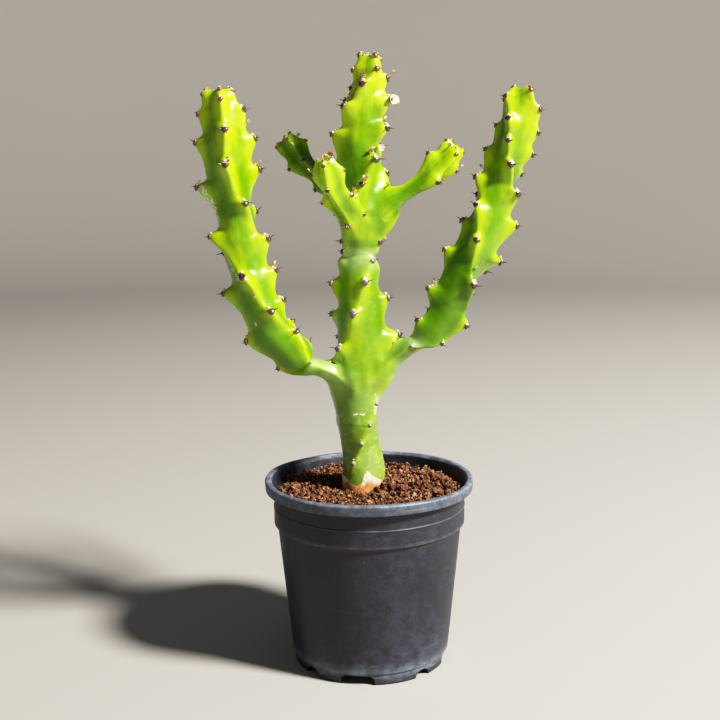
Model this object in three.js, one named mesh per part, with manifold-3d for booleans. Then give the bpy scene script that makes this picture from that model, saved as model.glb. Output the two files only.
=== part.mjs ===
// Potted euphorbia: a branching, tubercled succulent in a round nursery pot.
// Millimetres, +Z up, origin under the middle of the pot, -Y is the front.
import * as THREE from "three";
import { mergeVertices } from "three/addons/utils/BufferGeometryUtils.js";
import Module from "manifold-3d";

const wasm = await Module();
wasm.setup();

// ---------------------------------------------------------------- driving dimensions
const GAP = 0.35; // clearance between neighbouring pieces
const HAIR = 0.01; // the least height that counts as a difference

const POT = {
  height: 134.6,
  segments: 56,
  wall: 1.8,
  lipRadius: 75,
  lipInner: 69,
  lipUnderside: 127.2,
  collarRadius: 68.7,
  collarBottom: 102.7,
  bodyTop: 99.5,
  bodyTopRadius: 66,
  bodyBottom: 8,
  bodyBottomRadius: 56.8,
  footRadius: 55.2,
  footInner: 51.8,
  floorUnderside: 7.4,
  floorTop: 9.2,
  mouldLine: 115.5, // a faint step round the collar
};

const DRAIN = {
  count: 4,
  holeRadius: 5,
  holeCircle: 34,
  holeTurn: 35.4, // halfway between two wide notches
  wideTurn: -9.6, // degrees from the front, positive towards +X
  wideWidth: 24,
  wideHeight: 7.2,
  archTurn: 41.6,
  archWidth: 13,
  archHeight: 5.8,
  archShoulder: 0.35, // share of its height at which its sides begin to curve in
  segments: 16,
  reach: 3, // how far a cutting shape passes through the wall
};

const SOIL = {
  top: 127.6,
  lump: 0.5, // height and length of the surface's waves
  lumpLength: 22,
  rise: 0.6, // how much higher it lies at the back right wall
  skirt: 4, // depth below the top at which its wall turns in
  chamfer: 2, // of its lower edge
  shoulder: 2.4, // how far above the collar's foot it has widened to the collar
  rings: 6,
  segments: 40,
};

// Outline of a dried cup from its stalk to its heart, as shares of its radius: how far from
// the middle, and how far above the stalk's end.
const CUP = [[0.62, 0.15], [1, 0.62], [0.9, 0.78], [0.5, 0.4], [0, 0.34]];
const STALK = { radius: 0.8, sunk: 2, straight: 0.7, tip: 0.5, segments: 8 }; // tip: upwards

const RIB_WIDTH = 17; // degrees over which a ridge fades...
const RIB_ROUND = 8; // ...and over which its crest is rounded
const TIP_WIDTH = 4.6; // half width of a tubercle across its ridge...
const TIP_OUT = 3; // ...measured so far outside the girth
const TIP_FADE = 0.66; // ...and the shares of it that fade and that are round
const TIP_ROUND = 0.5;
const RISE_BELOW = 8.2; // a tubercle swells slowly from below...
const FALL_ABOVE = 5.4; // ...and stops short above
const LEAN = 0.28; // share of a tubercle's height that leans up the stem
const TIP_LOBE = 1.5; // how far the ribs stand up round a stem's top...
const LOBE_REACH = 7; // ...and over which length they rise
const STEPS_PER_RIB = 4;
const RING_STEP = { least: 1.6, most: 5.2 }; // distances between a stem's rings

// Each stem grows along `axis`. `girth` lists [distance along the stem, radius between
// the ribs]. A rib lists its tubercles as [distance, turn, size]: turn 0 faces the front and
// 90 faces +X. A swell is [distance, turn, height, fade below, fade above, fade across].
// `lobe` is how far the ribs stand up round the dished top.
const STEMS = {
  trunk: {
    axis: [[-5, 0, 95], [-5.5, 0, 122], [-6, 0, 150], [-7.5, 0, 173], [-8.2, 0, 192],
      [-6.8, 0, 214], [-5, 0, 236], [-5.5, 0, 262], [-6, 0, 280], [-5, 0, 299]],
    girth: [[0, 3], [4, 8], [14, 11.5], [28, 12.6], [40, 13], [50, 12.9], [62, 12.9],
      [80, 13.8], [98, 14.6], [112, 15.4], [130, 15.6], [150, 14.8], [162, 13.6], [176, 12.4],
      [188, 11.4], [198, 9.8], [203, 7], [205, 3]],
    ribs: [
      [[35, -165, 0.2], [60, -140, 0.3], [79, -112, 0.3], [100, -90, 0.3], [120, -66, 0.3],
        [132, -46, 1], [158, -14, 1], [180, 16, 0.9], [195, 44, 0.5]],
      [[35, -56, 0], [52, -18, 0.5], [66, 7, 0.5], [79, 31, 0.4], [94, 53, 0.4], [112, 68, 0.3],
        [126, 76, 0.5], [141, 84, 1.7], [166, 88, 1.4]],
      [[35, 60, 0.2], [53, 85, 0.2], [67, 110, 0.2], [80, 128, 0.2], [95, 145, 0.3],
        [118, 160, 0.5], [140, 168, 1.2], [165, 172, 1.2], [186, 178, 1]],
      [[35, 160, 0.2], [60, 175, 0.3], [79, 200, 0.3], [100, 215, 0.3], [120, 225, 0.6],
        [138, 236, 0.6], [156, 262, 1.2], [178, 274, 1.4]],
    ],
    ridge: 1.6,
    tubercle: 4.2,
    lobe: 0,
    swells: [[42, 84, 3.4, 7, 11, 42], [112, -72, 5.5, 12, 8, 28], [116, 78, 6.5, 13, 9, 28],
      [139, 84, 4, 11, 8, 22], [126, -34, 1.6, 6, 7, 13], [118, -22, 1.8, 7, 7, 13],
      [109, -9, 1.4, 8, 7, 13], [126, 50, 1.7, 7, 8, 14], [113, 24, 1.5, 8, 8, 14],
      [194, 284, 3.6, 7, 4.5, 20], [190, 84, 2.2, 7, 5, 20]],
  },
  crown_stem: {
    axis: [[-5, 0, 292], [-5, 0, 308], [-4, 0, 325], [-4, 0, 342], [-4.8, 0, 359],
      [-3.8, 0, 373], [-1.2, 0, 389], [1, 0, 405], [2, 0, 419], [2.5, 0, 431]],
    girth: [[0, 6], [3, 9], [8, 9.4], [16, 10], [30, 10.6], [45, 10.8], [60, 10.6], [72, 10.2],
      [84, 9.5], [96, 8.6], [108, 6.5], [120, 4.9], [127, 4], [132, 3.6], [136, 3.2]],
    ribs: [
      [[4, -60, 0.1], [21, -24, 0.5], [49, 3, 0.8], [65, 38, 1.2], [89, 70, 1.4],
        [107, 84, 1.75], [120, 98, 1.45], [132, 112, 0.7]],
      [[10, 62, 0.3], [31, 84, 1], [55, 92, 0.9], [76, 130, 1.1], [96, 155, 1.1],
        [113, 175, 1.1], [127, 185, 0.9], [134, 190, 0.5]],
      [[10, 150, 0.4], [30, 160, 0.9], [48, 172, 1.1], [68, 190, 1.1], [88, 218, 1.2],
        [103, 245, 1.1], [113, 262, 0.6], [125, 270, 0.9], [134, 290, 0.6]],
      [[10, 240, 0.3], [28, 245, 0.5], [46, 256, 0.6], [61, 264, 0.9], [80, 272, 1.5],
        [99, 294, 1.2], [115, 343, 1.2], [126, 396, 0.9], [134, 402, 0.5]],
    ],
    ridge: 4.2,
    tubercle: 4,
    lobe: TIP_LOBE,
    swells: [[22, -62, 1.6, 12, 8, 30], [22, 82, 6, 12, 9, 26]],
  },
  left_branch: {
    axis: [[-10, -2, 198.5], [-15, -5, 203], [-24, -10, 211.5], [-34, -15, 217],
      [-42, -18, 219.5], [-51, -19, 227.5], [-63.5, -20, 240], [-72, -20, 256], [-78, -19, 274],
      [-82.5, -18, 291.5], [-87, -17, 312.5], [-90.8, -16, 333], [-93, -15, 353],
      [-94.5, -14, 370], [-96, -13, 386], [-98, -12, 403], [-98, -12, 409]],
    girth: [[0, 6], [26, 5.2], [38, 5.2], [42, 6.8], [46, 9.4], [52, 10.6], [62, 10.2],
      [80, 10.8], [100, 10.8], [130, 10.8], [165, 10.4], [188, 12.4], [205, 12.4], [215, 11.3],
      [225, 9.5], [233, 8], [238.5, 6.8], [241.5, 5.6]],
    ribs: [
      [[30, 10, 0], [43, 22, 0.35], [63, 62, 0.8], [88, 27, 1], [116, -10, 1.1],
        [146, -78, 1.7], [178, -86, 1.9], [208, -88, 1.2], [227, -84, 1], [238.5, -72, 0.8]],
      [[51, 125, 0.4], [71, 108, 0.7], [92, 92, 0.8], [114, 88, 1.2], [137, 80, 1.4],
        [163, 34, 1.2], [190, 2, 1.1], [213, 8, 1.1], [233.5, 8, 0.9], [240, 10, 0.3]],
      [[58, 200, 0.9], [83, 192, 1.1], [108, 184, 1.1], [132, 165, 1.1], [158, 132, 1.1],
        [186, 98, 1.3], [207, 90, 1.2], [226, 76, 1], [238.5, 64, 0.6]],
      [[55, 284, 0.5], [77, 276, 1.3], [108, 268, 1.8], [134, 232, 1.1], [158, 196, 1.1],
        [183, 182, 1.1], [205, 180, 1.1], [224, 178, 1], [238.5, 176, 0.6]],
    ],
    ridge: 2.8,
    tubercle: 4.4,
    lobe: TIP_LOBE,
    swells: [],
  },
  right_branch: {
    axis: [[1, -1, 204], [9, -3, 211], [19, -4, 221], [28, -5, 228], [35, -5, 232],
      [43, -5, 239], [53, -4, 251], [59, -3, 263], [66, -2, 278], [73, 0, 293], [81, 2, 307],
      [87.5, 4, 325], [91, 6, 339], [95, 7, 354], [100, 8, 368], [104.5, 9, 382],
      [106.5, 10, 395], [107.5, 10, 407]],
    girth: [[0, 6.5], [20, 5.8], [40, 5.4], [46, 5.8], [51, 7.4], [58, 8.4], [70, 8.4],
      [84, 9.6], [108, 9.4], [120, 9.9], [140, 9.7], [156, 8.8], [180, 8.8], [200, 8.6],
      [216, 8.4], [225, 7.7], [232, 6.7], [236.5, 5.6]],
    ribs: [
      [[55, 288, 0.6], [82, 274, 1.3], [111, 267, 1.4], [136, 256, 1], [160, 222, 1.1],
        [190, 196, 1.1], [215, 170, 1.1], [233, 150, 0.7]],
      [[39, -10, 0.3], [55, 60, 0.4], [71, 78, 1.4], [97, 30, 1], [124, -14, 1.1],
        [149, -50, 1.1], [169, -80, 1.3], [188, -92, 0.9], [207, -105, 0.6], [228, -128, 0.7]],
      [[66, 150, 0.8], [90, 140, 1.1], [110, 126, 0.9], [121, 104, 1.9], [144, 88, 1.7],
        [163, 56, 1.2], [182, 10, 1.1], [197, -16, 1], [212, -34, 1], [229, -58, 1]],
      [[66, 215, 0.9], [90, 210, 1.1], [115, 204, 1.1], [140, 188, 1.1], [162, 160, 1.1],
        [180, 115, 0.9], [195, 88, 1.1], [209, 76, 0.9], [222, 62, 0.95], [234, 30, 0.6]],
    ],
    ridge: 3.4,
    tubercle: 4.2,
    lobe: TIP_LOBE,
    swells: [],
  },
  front_arm: {
    axis: [[-4, -2, 308], [-8, -8, 317], [-17, -18, 331], [-22.5, -26, 343], [-26, -31, 354],
      [-27.5, -33, 360]],
    girth: [[0, 3], [8, 4.2], [18, 5.8], [32, 5.6], [44, 5.6], [53, 6.2], [58, 5.8], [61.5, 5],
      [64, 3.8]],
    ribs: [
      [[36, -84, 1.5], [56, -80, 1.1]],
      [[47, -24, 1], [61, -10, 0.8]],
      [[16, 50, 0.5], [34, 62, 0.8], [53, 80, 0.9]],
      [[44, 170, 1.1], [58, 168, 1]],
    ],
    ridge: 2,
    tubercle: 2.9,
    lobe: TIP_LOBE,
    swells: [],
  },
  back_arm: {
    axis: [[-5, 4, 320], [-12, 10, 326.5], [-23, 18, 337.5], [-34, 24, 347.5], [-46, 28, 358.5],
      [-57, 32, 372]],
    girth: [[0, 5], [18, 6], [34, 4.4], [50, 4.4], [64, 5.2], [72, 5.1], [77, 4.3], [80, 3.2]],
    ribs: [
      [[38, -80, 1], [61, -74, 1.3], [77, -60, 1]],
      [[42, 20, 0.5], [58, 14, 0.6], [76, 16, 0.9]],
      [[44, 95, 0.5], [69, 84, 1.3], [79, 60, 0.7]],
      [[50, 185, 0.9], [72, 184, 1]],
    ],
    ridge: 1.8,
    tubercle: 3.2,
    lobe: TIP_LOBE,
    swells: [],
  },
  right_arm: {
    axis: [[0, -1, 315], [6, -2, 321], [20, -4, 332], [31, -5, 338.5], [41, -5, 346],
      [51, -4, 356], [60, -2, 367]],
    girth: [[0, 4], [12, 5.6], [22, 6], [34, 4.6], [46, 4.7], [58, 5.5], [68, 5.1], [75, 4.6],
      [80, 3.3]],
    ribs: [
      [[40, -80, 0], [63, -78, 1.3], [77, -56, 1]],
      [[53, 40, 1.3], [74, 26, 0.8]],
      [[40, 110, 0], [67, 88, 1.3], [78, 70, 0.8]],
      [[56, 190, 0.9], [72, 186, 1]],
    ],
    ridge: 1.8,
    tubercle: 3.3,
    lobe: TIP_LOBE,
    swells: [],
  },
};

// Dried flowers: [stem, distance along it, turn, cup radius, stalk length].
const FLOWERS = [
  ["crown_stem", 107, 88, 3.8, 2.5],
  ["crown_stem", 121, 98, 2, 4],
  ["crown_stem", 106, -80, 3, 2.4],
  ["crown_stem", 94, 84, 2.2, 1.5],
  ["crown_stem", 75, 70, 2.6, 5],
  ["crown_stem", 71, 34, 2.4, 2],
  ["crown_stem", 52, 6, 2.4, 1.5],
  ["front_arm", 34, 64, 2.2, 1.2],
  ["front_arm", 17, -30, 1.8, 1.2],
  ["crown_stem", 12, 70, 1.5, 1.5],
  ["front_arm", 59.5, 172, 3.8, 5],
  ["front_arm", 58, -86, 2, 1.5],
  ["back_arm", 75, 64, 2, 1],
  ["right_arm", 56, 40, 1.8, 1.8],
  ["right_arm", 70, 86, 1.8, 1.8],
  ["right_arm", 78, -30, 1.8, 1],
  ["left_branch", 217, 88, 2, 2],
  ["left_branch", 190, 96, 2, 2],
  ["left_branch", 119, 88, 2.4, 2],
  ["left_branch", 195, 8, 1.6, 1.2],
  ["right_branch", 177, -84, 1.8, 2],
  ["right_branch", 88, -86, 2.4, 1.5],
  ["right_branch", 108, 28, 2, 2],
  ["crown_stem", 121.5, -30, 3.2, 1.6],
];

// ---------------------------------------------------------------- small helpers
const degrees = THREE.MathUtils.degToRad;
const around = (angle) => THREE.MathUtils.euclideanModulo(angle, 360);

/** A smooth curve through [x, y] knots, with slopes taken from the neighbours. */
function through(knots, x) {
  const last = knots.length - 1;
  const at = THREE.MathUtils.clamp(x, knots[0][0], knots[last][0]);
  let i = 0;
  while (i < last - 1 && knots[i + 1][0] < at) i += 1;
  const slope = (j) => {
    const a = knots[Math.max(j - 1, 0)];
    const b = knots[Math.min(j + 1, last)];
    return (b[1] - a[1]) / (b[0] - a[0]);
  };
  const width = knots[i + 1][0] - knots[i][0];
  const t = (at - knots[i][0]) / width;
  const start = knots[i][1] * (2 * t ** 3 - 3 * t ** 2 + 1);
  const end = knots[i + 1][1] * (3 * t ** 2 - 2 * t ** 3);
  const startSlope = slope(i) * width * (t ** 3 - 2 * t ** 2 + t);
  const endSlope = slope(i + 1) * width * (t ** 3 - t ** 2);
  return start + end + startSlope + endSlope;
}

/** A bell that fades over `before` below zero and over `after` above it. */
function bell(x, before, after) {
  const width = x < 0 ? before : after;
  return Math.exp(-((x / width) ** 2));
}

/** A ridge beside its crest: flat faces that meet in a rounded edge. */
function fold(off, width, rounding) {
  return Math.exp((rounding - Math.hypot(off, rounding)) / width);
}

/** A tubercle along its rib: a soft rise below its tip and a blunter end above it. */
function nose(x) {
  const fall = x < 0 ? (x / RISE_BELOW) ** 2 : (x / FALL_ABOVE) ** 2.5;
  return Math.exp(-fall);
}

function smoothstep(low, high, x) {
  const t = THREE.MathUtils.clamp((x - low) / (high - low), 0, 1);
  return t * t * (3 - 2 * t);
}

function turned(profile, segments) {
  const points = profile.map(([radius, height]) => new THREE.Vector2(radius, height));
  return new THREE.LatheGeometry(points, segments).rotateX(Math.PI / 2);
}

/** A closed geometry with shared corners and no flat triangles, ready for cutting. */
function welded(geometry) {
  const bare = geometry.clone();
  bare.deleteAttribute("normal");
  bare.deleteAttribute("uv");
  const merged = mergeVertices(bare, 1e-4);
  const index = merged.index.array;
  const kept = [];
  for (let i = 0; i < index.length; i += 3) {
    const [a, b, c] = [index[i], index[i + 1], index[i + 2]];
    if (a !== b && b !== c && c !== a) kept.push(a, b, c);
  }
  merged.setIndex(kept);
  return merged;
}

function solid(geometry) {
  const closed = welded(geometry);
  return new wasm.Manifold(new wasm.Mesh({
    numProp: 3,
    vertProperties: new Float32Array(closed.attributes.position.array),
    triVerts: new Uint32Array(closed.index.array),
  }));
}

/** The largest body of a solid, as a geometry. */
function largest(shape) {
  const bodies = shape.decompose();
  const body = bodies.reduce((a, b) => (b.volume() > a.volume() ? b : a));
  const mesh = body.getMesh();
  const geometry = new THREE.BufferGeometry();
  geometry.setAttribute("position", new THREE.BufferAttribute(mesh.vertProperties, 3));
  geometry.setIndex(new THREE.BufferAttribute(mesh.triVerts, 1));
  return geometry;
}

// ---------------------------------------------------------------- stems
/** The frame at a distance along a stem: centre, along, front and side. */
function frameAt(stem, distance) {
  const curve = new THREE.CatmullRomCurve3(
    stem.axis.map((point) => new THREE.Vector3(...point)), false, "catmullrom", 0.5);
  curve.arcLengthDivisions = 400;
  const share = THREE.MathUtils.clamp(distance / curve.getLength(), 0, 1);
  const centre = curve.getPointAt(share);
  const along = curve.getTangentAt(share);
  const front = new THREE.Vector3(0, -1, 0);
  front.addScaledVector(along, -front.dot(along)).normalize();
  const side = new THREE.Vector3().crossVectors(along, front);
  return { centre, along, front, side };
}

/** Radius and lean of a stem's skin at a distance along it and a turn about it. */
function skinAt(stem, distance, turn) {
  const girth = through(stem.girth, distance);
  const widest = Math.max(...stem.girth.map(([, radius]) => radius));
  const share = THREE.MathUtils.clamp(girth / widest, 0, 1);
  const tipWidth = THREE.MathUtils.radToDeg(TIP_WIDTH / (girth + TIP_OUT));
  let radius = girth;
  let knobs = 0;
  let crest = 0;
  for (const rib of stem.ribs) {
    const off = around(turn - through(rib, distance) + 180) - 180;
    const ridge = fold(off, RIB_WIDTH, RIB_ROUND);
    crest = Math.max(crest, ridge);
    radius += stem.ridge * share * ridge;
    const across = fold(off, TIP_FADE * tipWidth, TIP_ROUND * tipWidth);
    for (const [place, , size] of rib) {
      knobs += size * stem.tubercle * across * nose(distance - place);
    }
  }
  for (const [place, direction, height, below, above, across] of stem.swells) {
    const off = around(turn - direction + 180) - 180;
    radius += height * bell(distance - place, below, above) * bell(off, across, across);
  }
  const length = stem.girth.at(-1)[0];
  const lobe = stem.lobe * crest * (1 - smoothstep(0, LOBE_REACH, length - distance));
  return { radius: radius + knobs, lean: LEAN * knobs + lobe };
}

function skinPoint(stem, distance, turn) {
  const { centre, along, front, side } = frameAt(stem, distance);
  const { radius, lean } = skinAt(stem, distance, turn);
  const outward = front.multiplyScalar(Math.cos(degrees(turn)))
    .addScaledVector(side, Math.sin(degrees(turn)));
  return centre.addScaledVector(outward, radius).addScaledVector(along, lean);
}

/** Places for the rings: every tubercle tip, with one more in each long space between. */
function ringPlaces(stem) {
  const tips = stem.ribs.flat().map(([place]) => place);
  const length = stem.girth.at(-1)[0];
  const wanted = [0, ...tips, ...stem.girth.map(([place]) => place), length];
  wanted.sort((a, b) => a - b);
  const places = [];
  for (const place of wanted) {
    const before = places.at(-1);
    if (before !== undefined && place - before < RING_STEP.least) continue;
    if (before !== undefined && place - before > RING_STEP.most) places.push((before + place) / 2);
    places.push(place);
  }
  return places;
}

/** Turns of one ring's corners: on each rib and evenly between two ribs. */
function ringTurns(stem, distance) {
  const middle = stem.girth.at(-1)[0] / 2;
  const ordered = [...stem.ribs].sort(
    (a, b) => around(through(a, middle)) - around(through(b, middle)));
  const first = through(ordered[0], distance);
  const ribs = ordered.map((rib) => first + around(through(rib, distance) - first));
  ribs.push(first + 360);
  const turns = [];
  for (let j = 0; j + 1 < ribs.length; j += 1) {
    for (let k = 0; k < STEPS_PER_RIB; k += 1) {
      turns.push(ribs[j] + (ribs[j + 1] - ribs[j]) * (k / STEPS_PER_RIB));
    }
  }
  return turns;
}

/** The closed skin of a stem. */
function stemGeometry(stem) {
  const places = ringPlaces(stem);
  const corners = stem.ribs.length * STEPS_PER_RIB;
  const positions = [];
  const index = [];
  for (const place of places) {
    for (const turn of ringTurns(stem, place)) {
      positions.push(...skinPoint(stem, place, turn).toArray());
    }
  }
  for (let i = 0; i + 1 < places.length; i += 1) {
    for (let j = 0; j < corners; j += 1) {
      const a = i * corners + j;
      const b = i * corners + ((j + 1) % corners);
      index.push(a, b, b + corners, a, b + corners, a + corners);
    }
  }
  for (const ring of [0, places.length - 1]) {
    const pole = positions.length / 3;
    positions.push(...frameAt(stem, places[ring]).centre.toArray());
    for (let j = 0; j < corners; j += 1) {
      const a = ring * corners + j;
      const b = ring * corners + ((j + 1) % corners);
      index.push(...(ring === 0 ? [pole, b, a] : [pole, a, b]));
    }
  }
  const geometry = new THREE.BufferGeometry();
  geometry.setAttribute("position", new THREE.Float32BufferAttribute(positions, 3));
  geometry.setIndex(index);
  return geometry;
}

/** The skin of a stem with each corner pushed outwards by the clearance. */
function grownSkin(stem) {
  const geometry = stemGeometry(stem);
  geometry.computeVertexNormals();
  const { position, normal } = geometry.attributes;
  const corner = new THREE.Vector3();
  const outward = new THREE.Vector3();
  for (let i = 0; i < position.count; i += 1) {
    outward.fromBufferAttribute(normal, i);
    corner.fromBufferAttribute(position, i).addScaledVector(outward, GAP);
    position.setXYZ(i, corner.x, corner.y, corner.z);
  }
  return solid(geometry);
}

/** A stem's solid, cut back to a clear gap where it grows out of its parent. */
function stemSolid(name, parent) {
  const whole = solid(stemGeometry(STEMS[name]));
  return parent ? whole.subtract(grownSkin(STEMS[parent])) : whole;
}

// ---------------------------------------------------------------- pot
/** Half outline of the pot. The small numbers round off its moulded edges. */
function potProfile() {
  const p = POT;
  const underLip = p.lipUnderside;
  const bodyIn = p.bodyBottomRadius - p.wall;
  return [
    [0, p.floorUnderside], [p.footInner, p.floorUnderside], [p.footInner, 0],
    [p.footRadius - 0.8, 0], [p.footRadius, 1.2], [p.footRadius, p.floorUnderside + 0.6],
    [p.bodyBottomRadius, p.bodyBottom], [p.bodyTopRadius, p.bodyTop],
    [p.bodyTopRadius + 0.6, p.collarBottom - 0.9],
    [p.collarRadius - 0.4, p.collarBottom], [p.collarRadius, p.collarBottom + 0.8],
    [p.collarRadius + 0.3, p.mouldLine], [p.collarRadius, p.mouldLine + 0.4],
    [p.collarRadius, underLip - 0.8],
    [p.lipRadius - 1.2, underLip], [p.lipRadius - 0.3, underLip + 0.7],
    [p.lipRadius, underLip + 3.3], [p.lipRadius - 0.4, p.height - 1.1],
    [p.lipRadius - 1.6, p.height], [p.lipInner + 0.9, p.height],
    [p.lipInner, p.height - 0.8], [p.lipInner - 0.7, underLip - 1],
    [p.collarRadius - p.wall, underLip - 3], [p.collarRadius - p.wall, p.collarBottom + 1.2],
    [p.bodyTopRadius - p.wall, p.bodyTop], [bodyIn, p.floorTop + 1.5],
    [bodyIn - 1.5, p.floorTop], [0, p.floorTop],
  ];
}

/** Turns a piece made at the front of the pot to `turn` degrees towards +X. */
function atTurn(geometry, turn) {
  return geometry.rotateZ(degrees(turn));
}

function wideNotch() {
  const depth = 2 * (POT.bodyBottomRadius - POT.footInner + DRAIN.reach);
  const block = new THREE.BoxGeometry(DRAIN.wideWidth, depth, 2 * DRAIN.wideHeight);
  return block.translate(0, -(POT.footInner + POT.footRadius) / 2, 0);
}

function archNotch() {
  const half = DRAIN.archWidth / 2;
  const top = DRAIN.archHeight;
  const shoulder = top * DRAIN.archShoulder;
  const outline = new THREE.Shape();
  outline.moveTo(-half, -DRAIN.reach);
  outline.lineTo(half, -DRAIN.reach);
  outline.lineTo(half, shoulder);
  outline.quadraticCurveTo(half, top, 0, top);
  outline.quadraticCurveTo(-half, top, -half, shoulder);
  const depth = 2 * (POT.footRadius - POT.footInner + DRAIN.reach);
  const block = new THREE.ExtrudeGeometry(outline, { depth, bevelEnabled: false, curveSegments: 4 });
  block.rotateX(Math.PI / 2);
  return block.translate(0, -(POT.footInner + POT.footRadius) / 2 + depth / 2, 0);
}

function drainHole() {
  const { holeRadius, holeCircle, segments, reach } = DRAIN;
  const length = POT.floorTop - POT.floorUnderside + 2 * reach;
  const hole = new THREE.CylinderGeometry(holeRadius, holeRadius, length, segments);
  const middle = (POT.floorTop + POT.floorUnderside) / 2;
  return hole.rotateX(Math.PI / 2).translate(0, -holeCircle, middle);
}

function potSolid() {
  let shape = solid(turned(potProfile(), POT.segments));
  for (let i = 0; i < DRAIN.count; i += 1) {
    const step = (360 / DRAIN.count) * i;
    shape = shape.subtract(solid(atTurn(wideNotch(), DRAIN.wideTurn + step)));
    shape = shape.subtract(solid(atTurn(archNotch(), DRAIN.archTurn + step)));
    shape = shape.subtract(solid(atTurn(drainHole(), DRAIN.holeTurn + step)));
  }
  return shape;
}

// ---------------------------------------------------------------- soil
/** Height of the crumbly surface over its mean, higher towards the back right wall. */
function lumps(x, y) {
  const wave = (2 * Math.PI) / SOIL.lumpLength;
  const crumb = Math.sin(x * wave) * Math.cos(y * wave);
  return SOIL.lump * crumb + (SOIL.rise * (x + y)) / POT.lipRadius;
}

function soilSolid() {
  const wallAt = POT.collarRadius - POT.wall - GAP;
  const bodyIn = POT.bodyBottomRadius - POT.wall - GAP;
  const floor = POT.floorTop + GAP;
  const profile = [
    [0, floor], [bodyIn - SOIL.chamfer, floor], [bodyIn, floor + SOIL.chamfer],
    [POT.bodyTopRadius - POT.wall - GAP, POT.bodyTop + GAP],
    [wallAt, POT.collarBottom + SOIL.shoulder], [wallAt, SOIL.top - SOIL.skirt],
  ];
  for (let ring = SOIL.rings; ring >= 0; ring -= 1) {
    profile.push([(wallAt - GAP) * (ring / SOIL.rings), SOIL.top]);
  }
  const geometry = turned(profile, SOIL.segments);
  const position = geometry.attributes.position;
  for (let i = 0; i < position.count; i += 1) {
    if (position.getZ(i) < SOIL.top - HAIR) continue;
    position.setZ(i, SOIL.top + lumps(position.getX(i), position.getY(i)));
  }
  return solid(geometry).subtract(grownSkin(STEMS.trunk));
}

// ---------------------------------------------------------------- dried flowers
/** A papery cup on a short stalk, standing out of a stem and tipped towards the light. */
function flowerSolid(stemName, distance, turn, cup, stalk) {
  const stem = STEMS[stemName];
  const root = skinPoint(stem, distance, turn);
  const centre = frameAt(stem, distance).centre;
  const outward = root.clone().sub(centre).normalize();
  const tipped = outward.add(new THREE.Vector3(0, 0, STALK.tip)).normalize();
  const profile = [
    [0, -STALK.sunk], [STALK.radius, -STALK.sunk], [STALK.radius, stalk * STALK.straight],
    ...CUP.map(([across, above]) => [cup * across, stalk + cup * above]),
  ];
  const geometry = turned(profile, STALK.segments);
  const facing = new THREE.Quaternion().setFromUnitVectors(
    new THREE.Vector3(0, 0, 1), tipped);
  geometry.applyQuaternion(facing).translate(...root.toArray());
  return solid(geometry);
}

/** All the stems as one solid, grown by the gap that a flower keeps to them. */
function grownStems() {
  return Object.values(STEMS).map(grownSkin).reduce((whole, skin) => whole.add(skin));
}

// ---------------------------------------------------------------- assembly
const COLOURS = {
  pot: [0x3b4148, 0.75],
  soil: [0x5b3527, 0.98],
  trunk: [0x5f8a2c, 0.5],
  crown_stem: [0x86b522, 0.4],
  branch: [0x7dad20, 0.4],
  arm: [0x84b324, 0.42],
  flower: [0xcfb08a, 0.9],
};

function addPiece(group, name, shape, finish) {
  const [colour, roughness] = COLOURS[finish];
  const material = new THREE.MeshStandardMaterial({ color: colour, roughness, metalness: 0 });
  const mesh = new THREE.Mesh(largest(shape), material);
  mesh.name = name;
  group.add(mesh);
}

function buildPlant() {
  const plant = new THREE.Group();
  addPiece(plant, "pot", potSolid(), "pot");
  addPiece(plant, "soil", soilSolid(), "soil");
  addPiece(plant, "trunk", stemSolid("trunk"), "trunk");
  addPiece(plant, "crown_stem", stemSolid("crown_stem", "trunk"), "crown_stem");
  for (const name of ["left_branch", "right_branch"]) {
    addPiece(plant, name, stemSolid(name, "trunk"), "branch");
  }
  for (const name of ["front_arm", "back_arm", "right_arm"]) {
    addPiece(plant, name, stemSolid(name, "crown_stem"), "arm");
  }
  const stems = grownStems();
  FLOWERS.forEach((flower, i) => {
    const name = `dried_flower_${String(i + 1).padStart(2, "0")}`;
    addPiece(plant, name, flowerSolid(...flower).subtract(stems), "flower");
  });
  return plant;
}

export default buildPlant();
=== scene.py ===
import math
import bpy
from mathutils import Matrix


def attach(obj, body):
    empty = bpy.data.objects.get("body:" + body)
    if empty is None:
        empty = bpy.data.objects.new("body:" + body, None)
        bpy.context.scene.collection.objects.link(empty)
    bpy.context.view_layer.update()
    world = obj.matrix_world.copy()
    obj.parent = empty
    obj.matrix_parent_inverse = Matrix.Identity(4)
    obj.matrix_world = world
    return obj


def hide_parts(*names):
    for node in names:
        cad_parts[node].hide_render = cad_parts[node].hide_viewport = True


bl_info = {
    "name": "Potted Euphorbia",
    "version": (1, 0, 0),
    "blender": (4, 5, 0),
    "location": "View3D > Sidebar > Euphorbia",
    "description": "Builds a branching tubercled succulent in a round nursery pot",
    "category": "Add Mesh",
}

import bpy
import numpy as np
from mathutils import Matrix

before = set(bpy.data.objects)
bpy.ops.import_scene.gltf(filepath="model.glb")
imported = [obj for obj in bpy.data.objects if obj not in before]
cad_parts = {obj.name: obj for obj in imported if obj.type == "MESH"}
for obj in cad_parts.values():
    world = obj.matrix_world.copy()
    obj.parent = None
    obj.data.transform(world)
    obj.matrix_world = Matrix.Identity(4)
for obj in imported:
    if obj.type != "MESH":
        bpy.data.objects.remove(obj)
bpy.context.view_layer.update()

MM = 0.001  # the lists below are in millimetres, as the plant was measured

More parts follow.
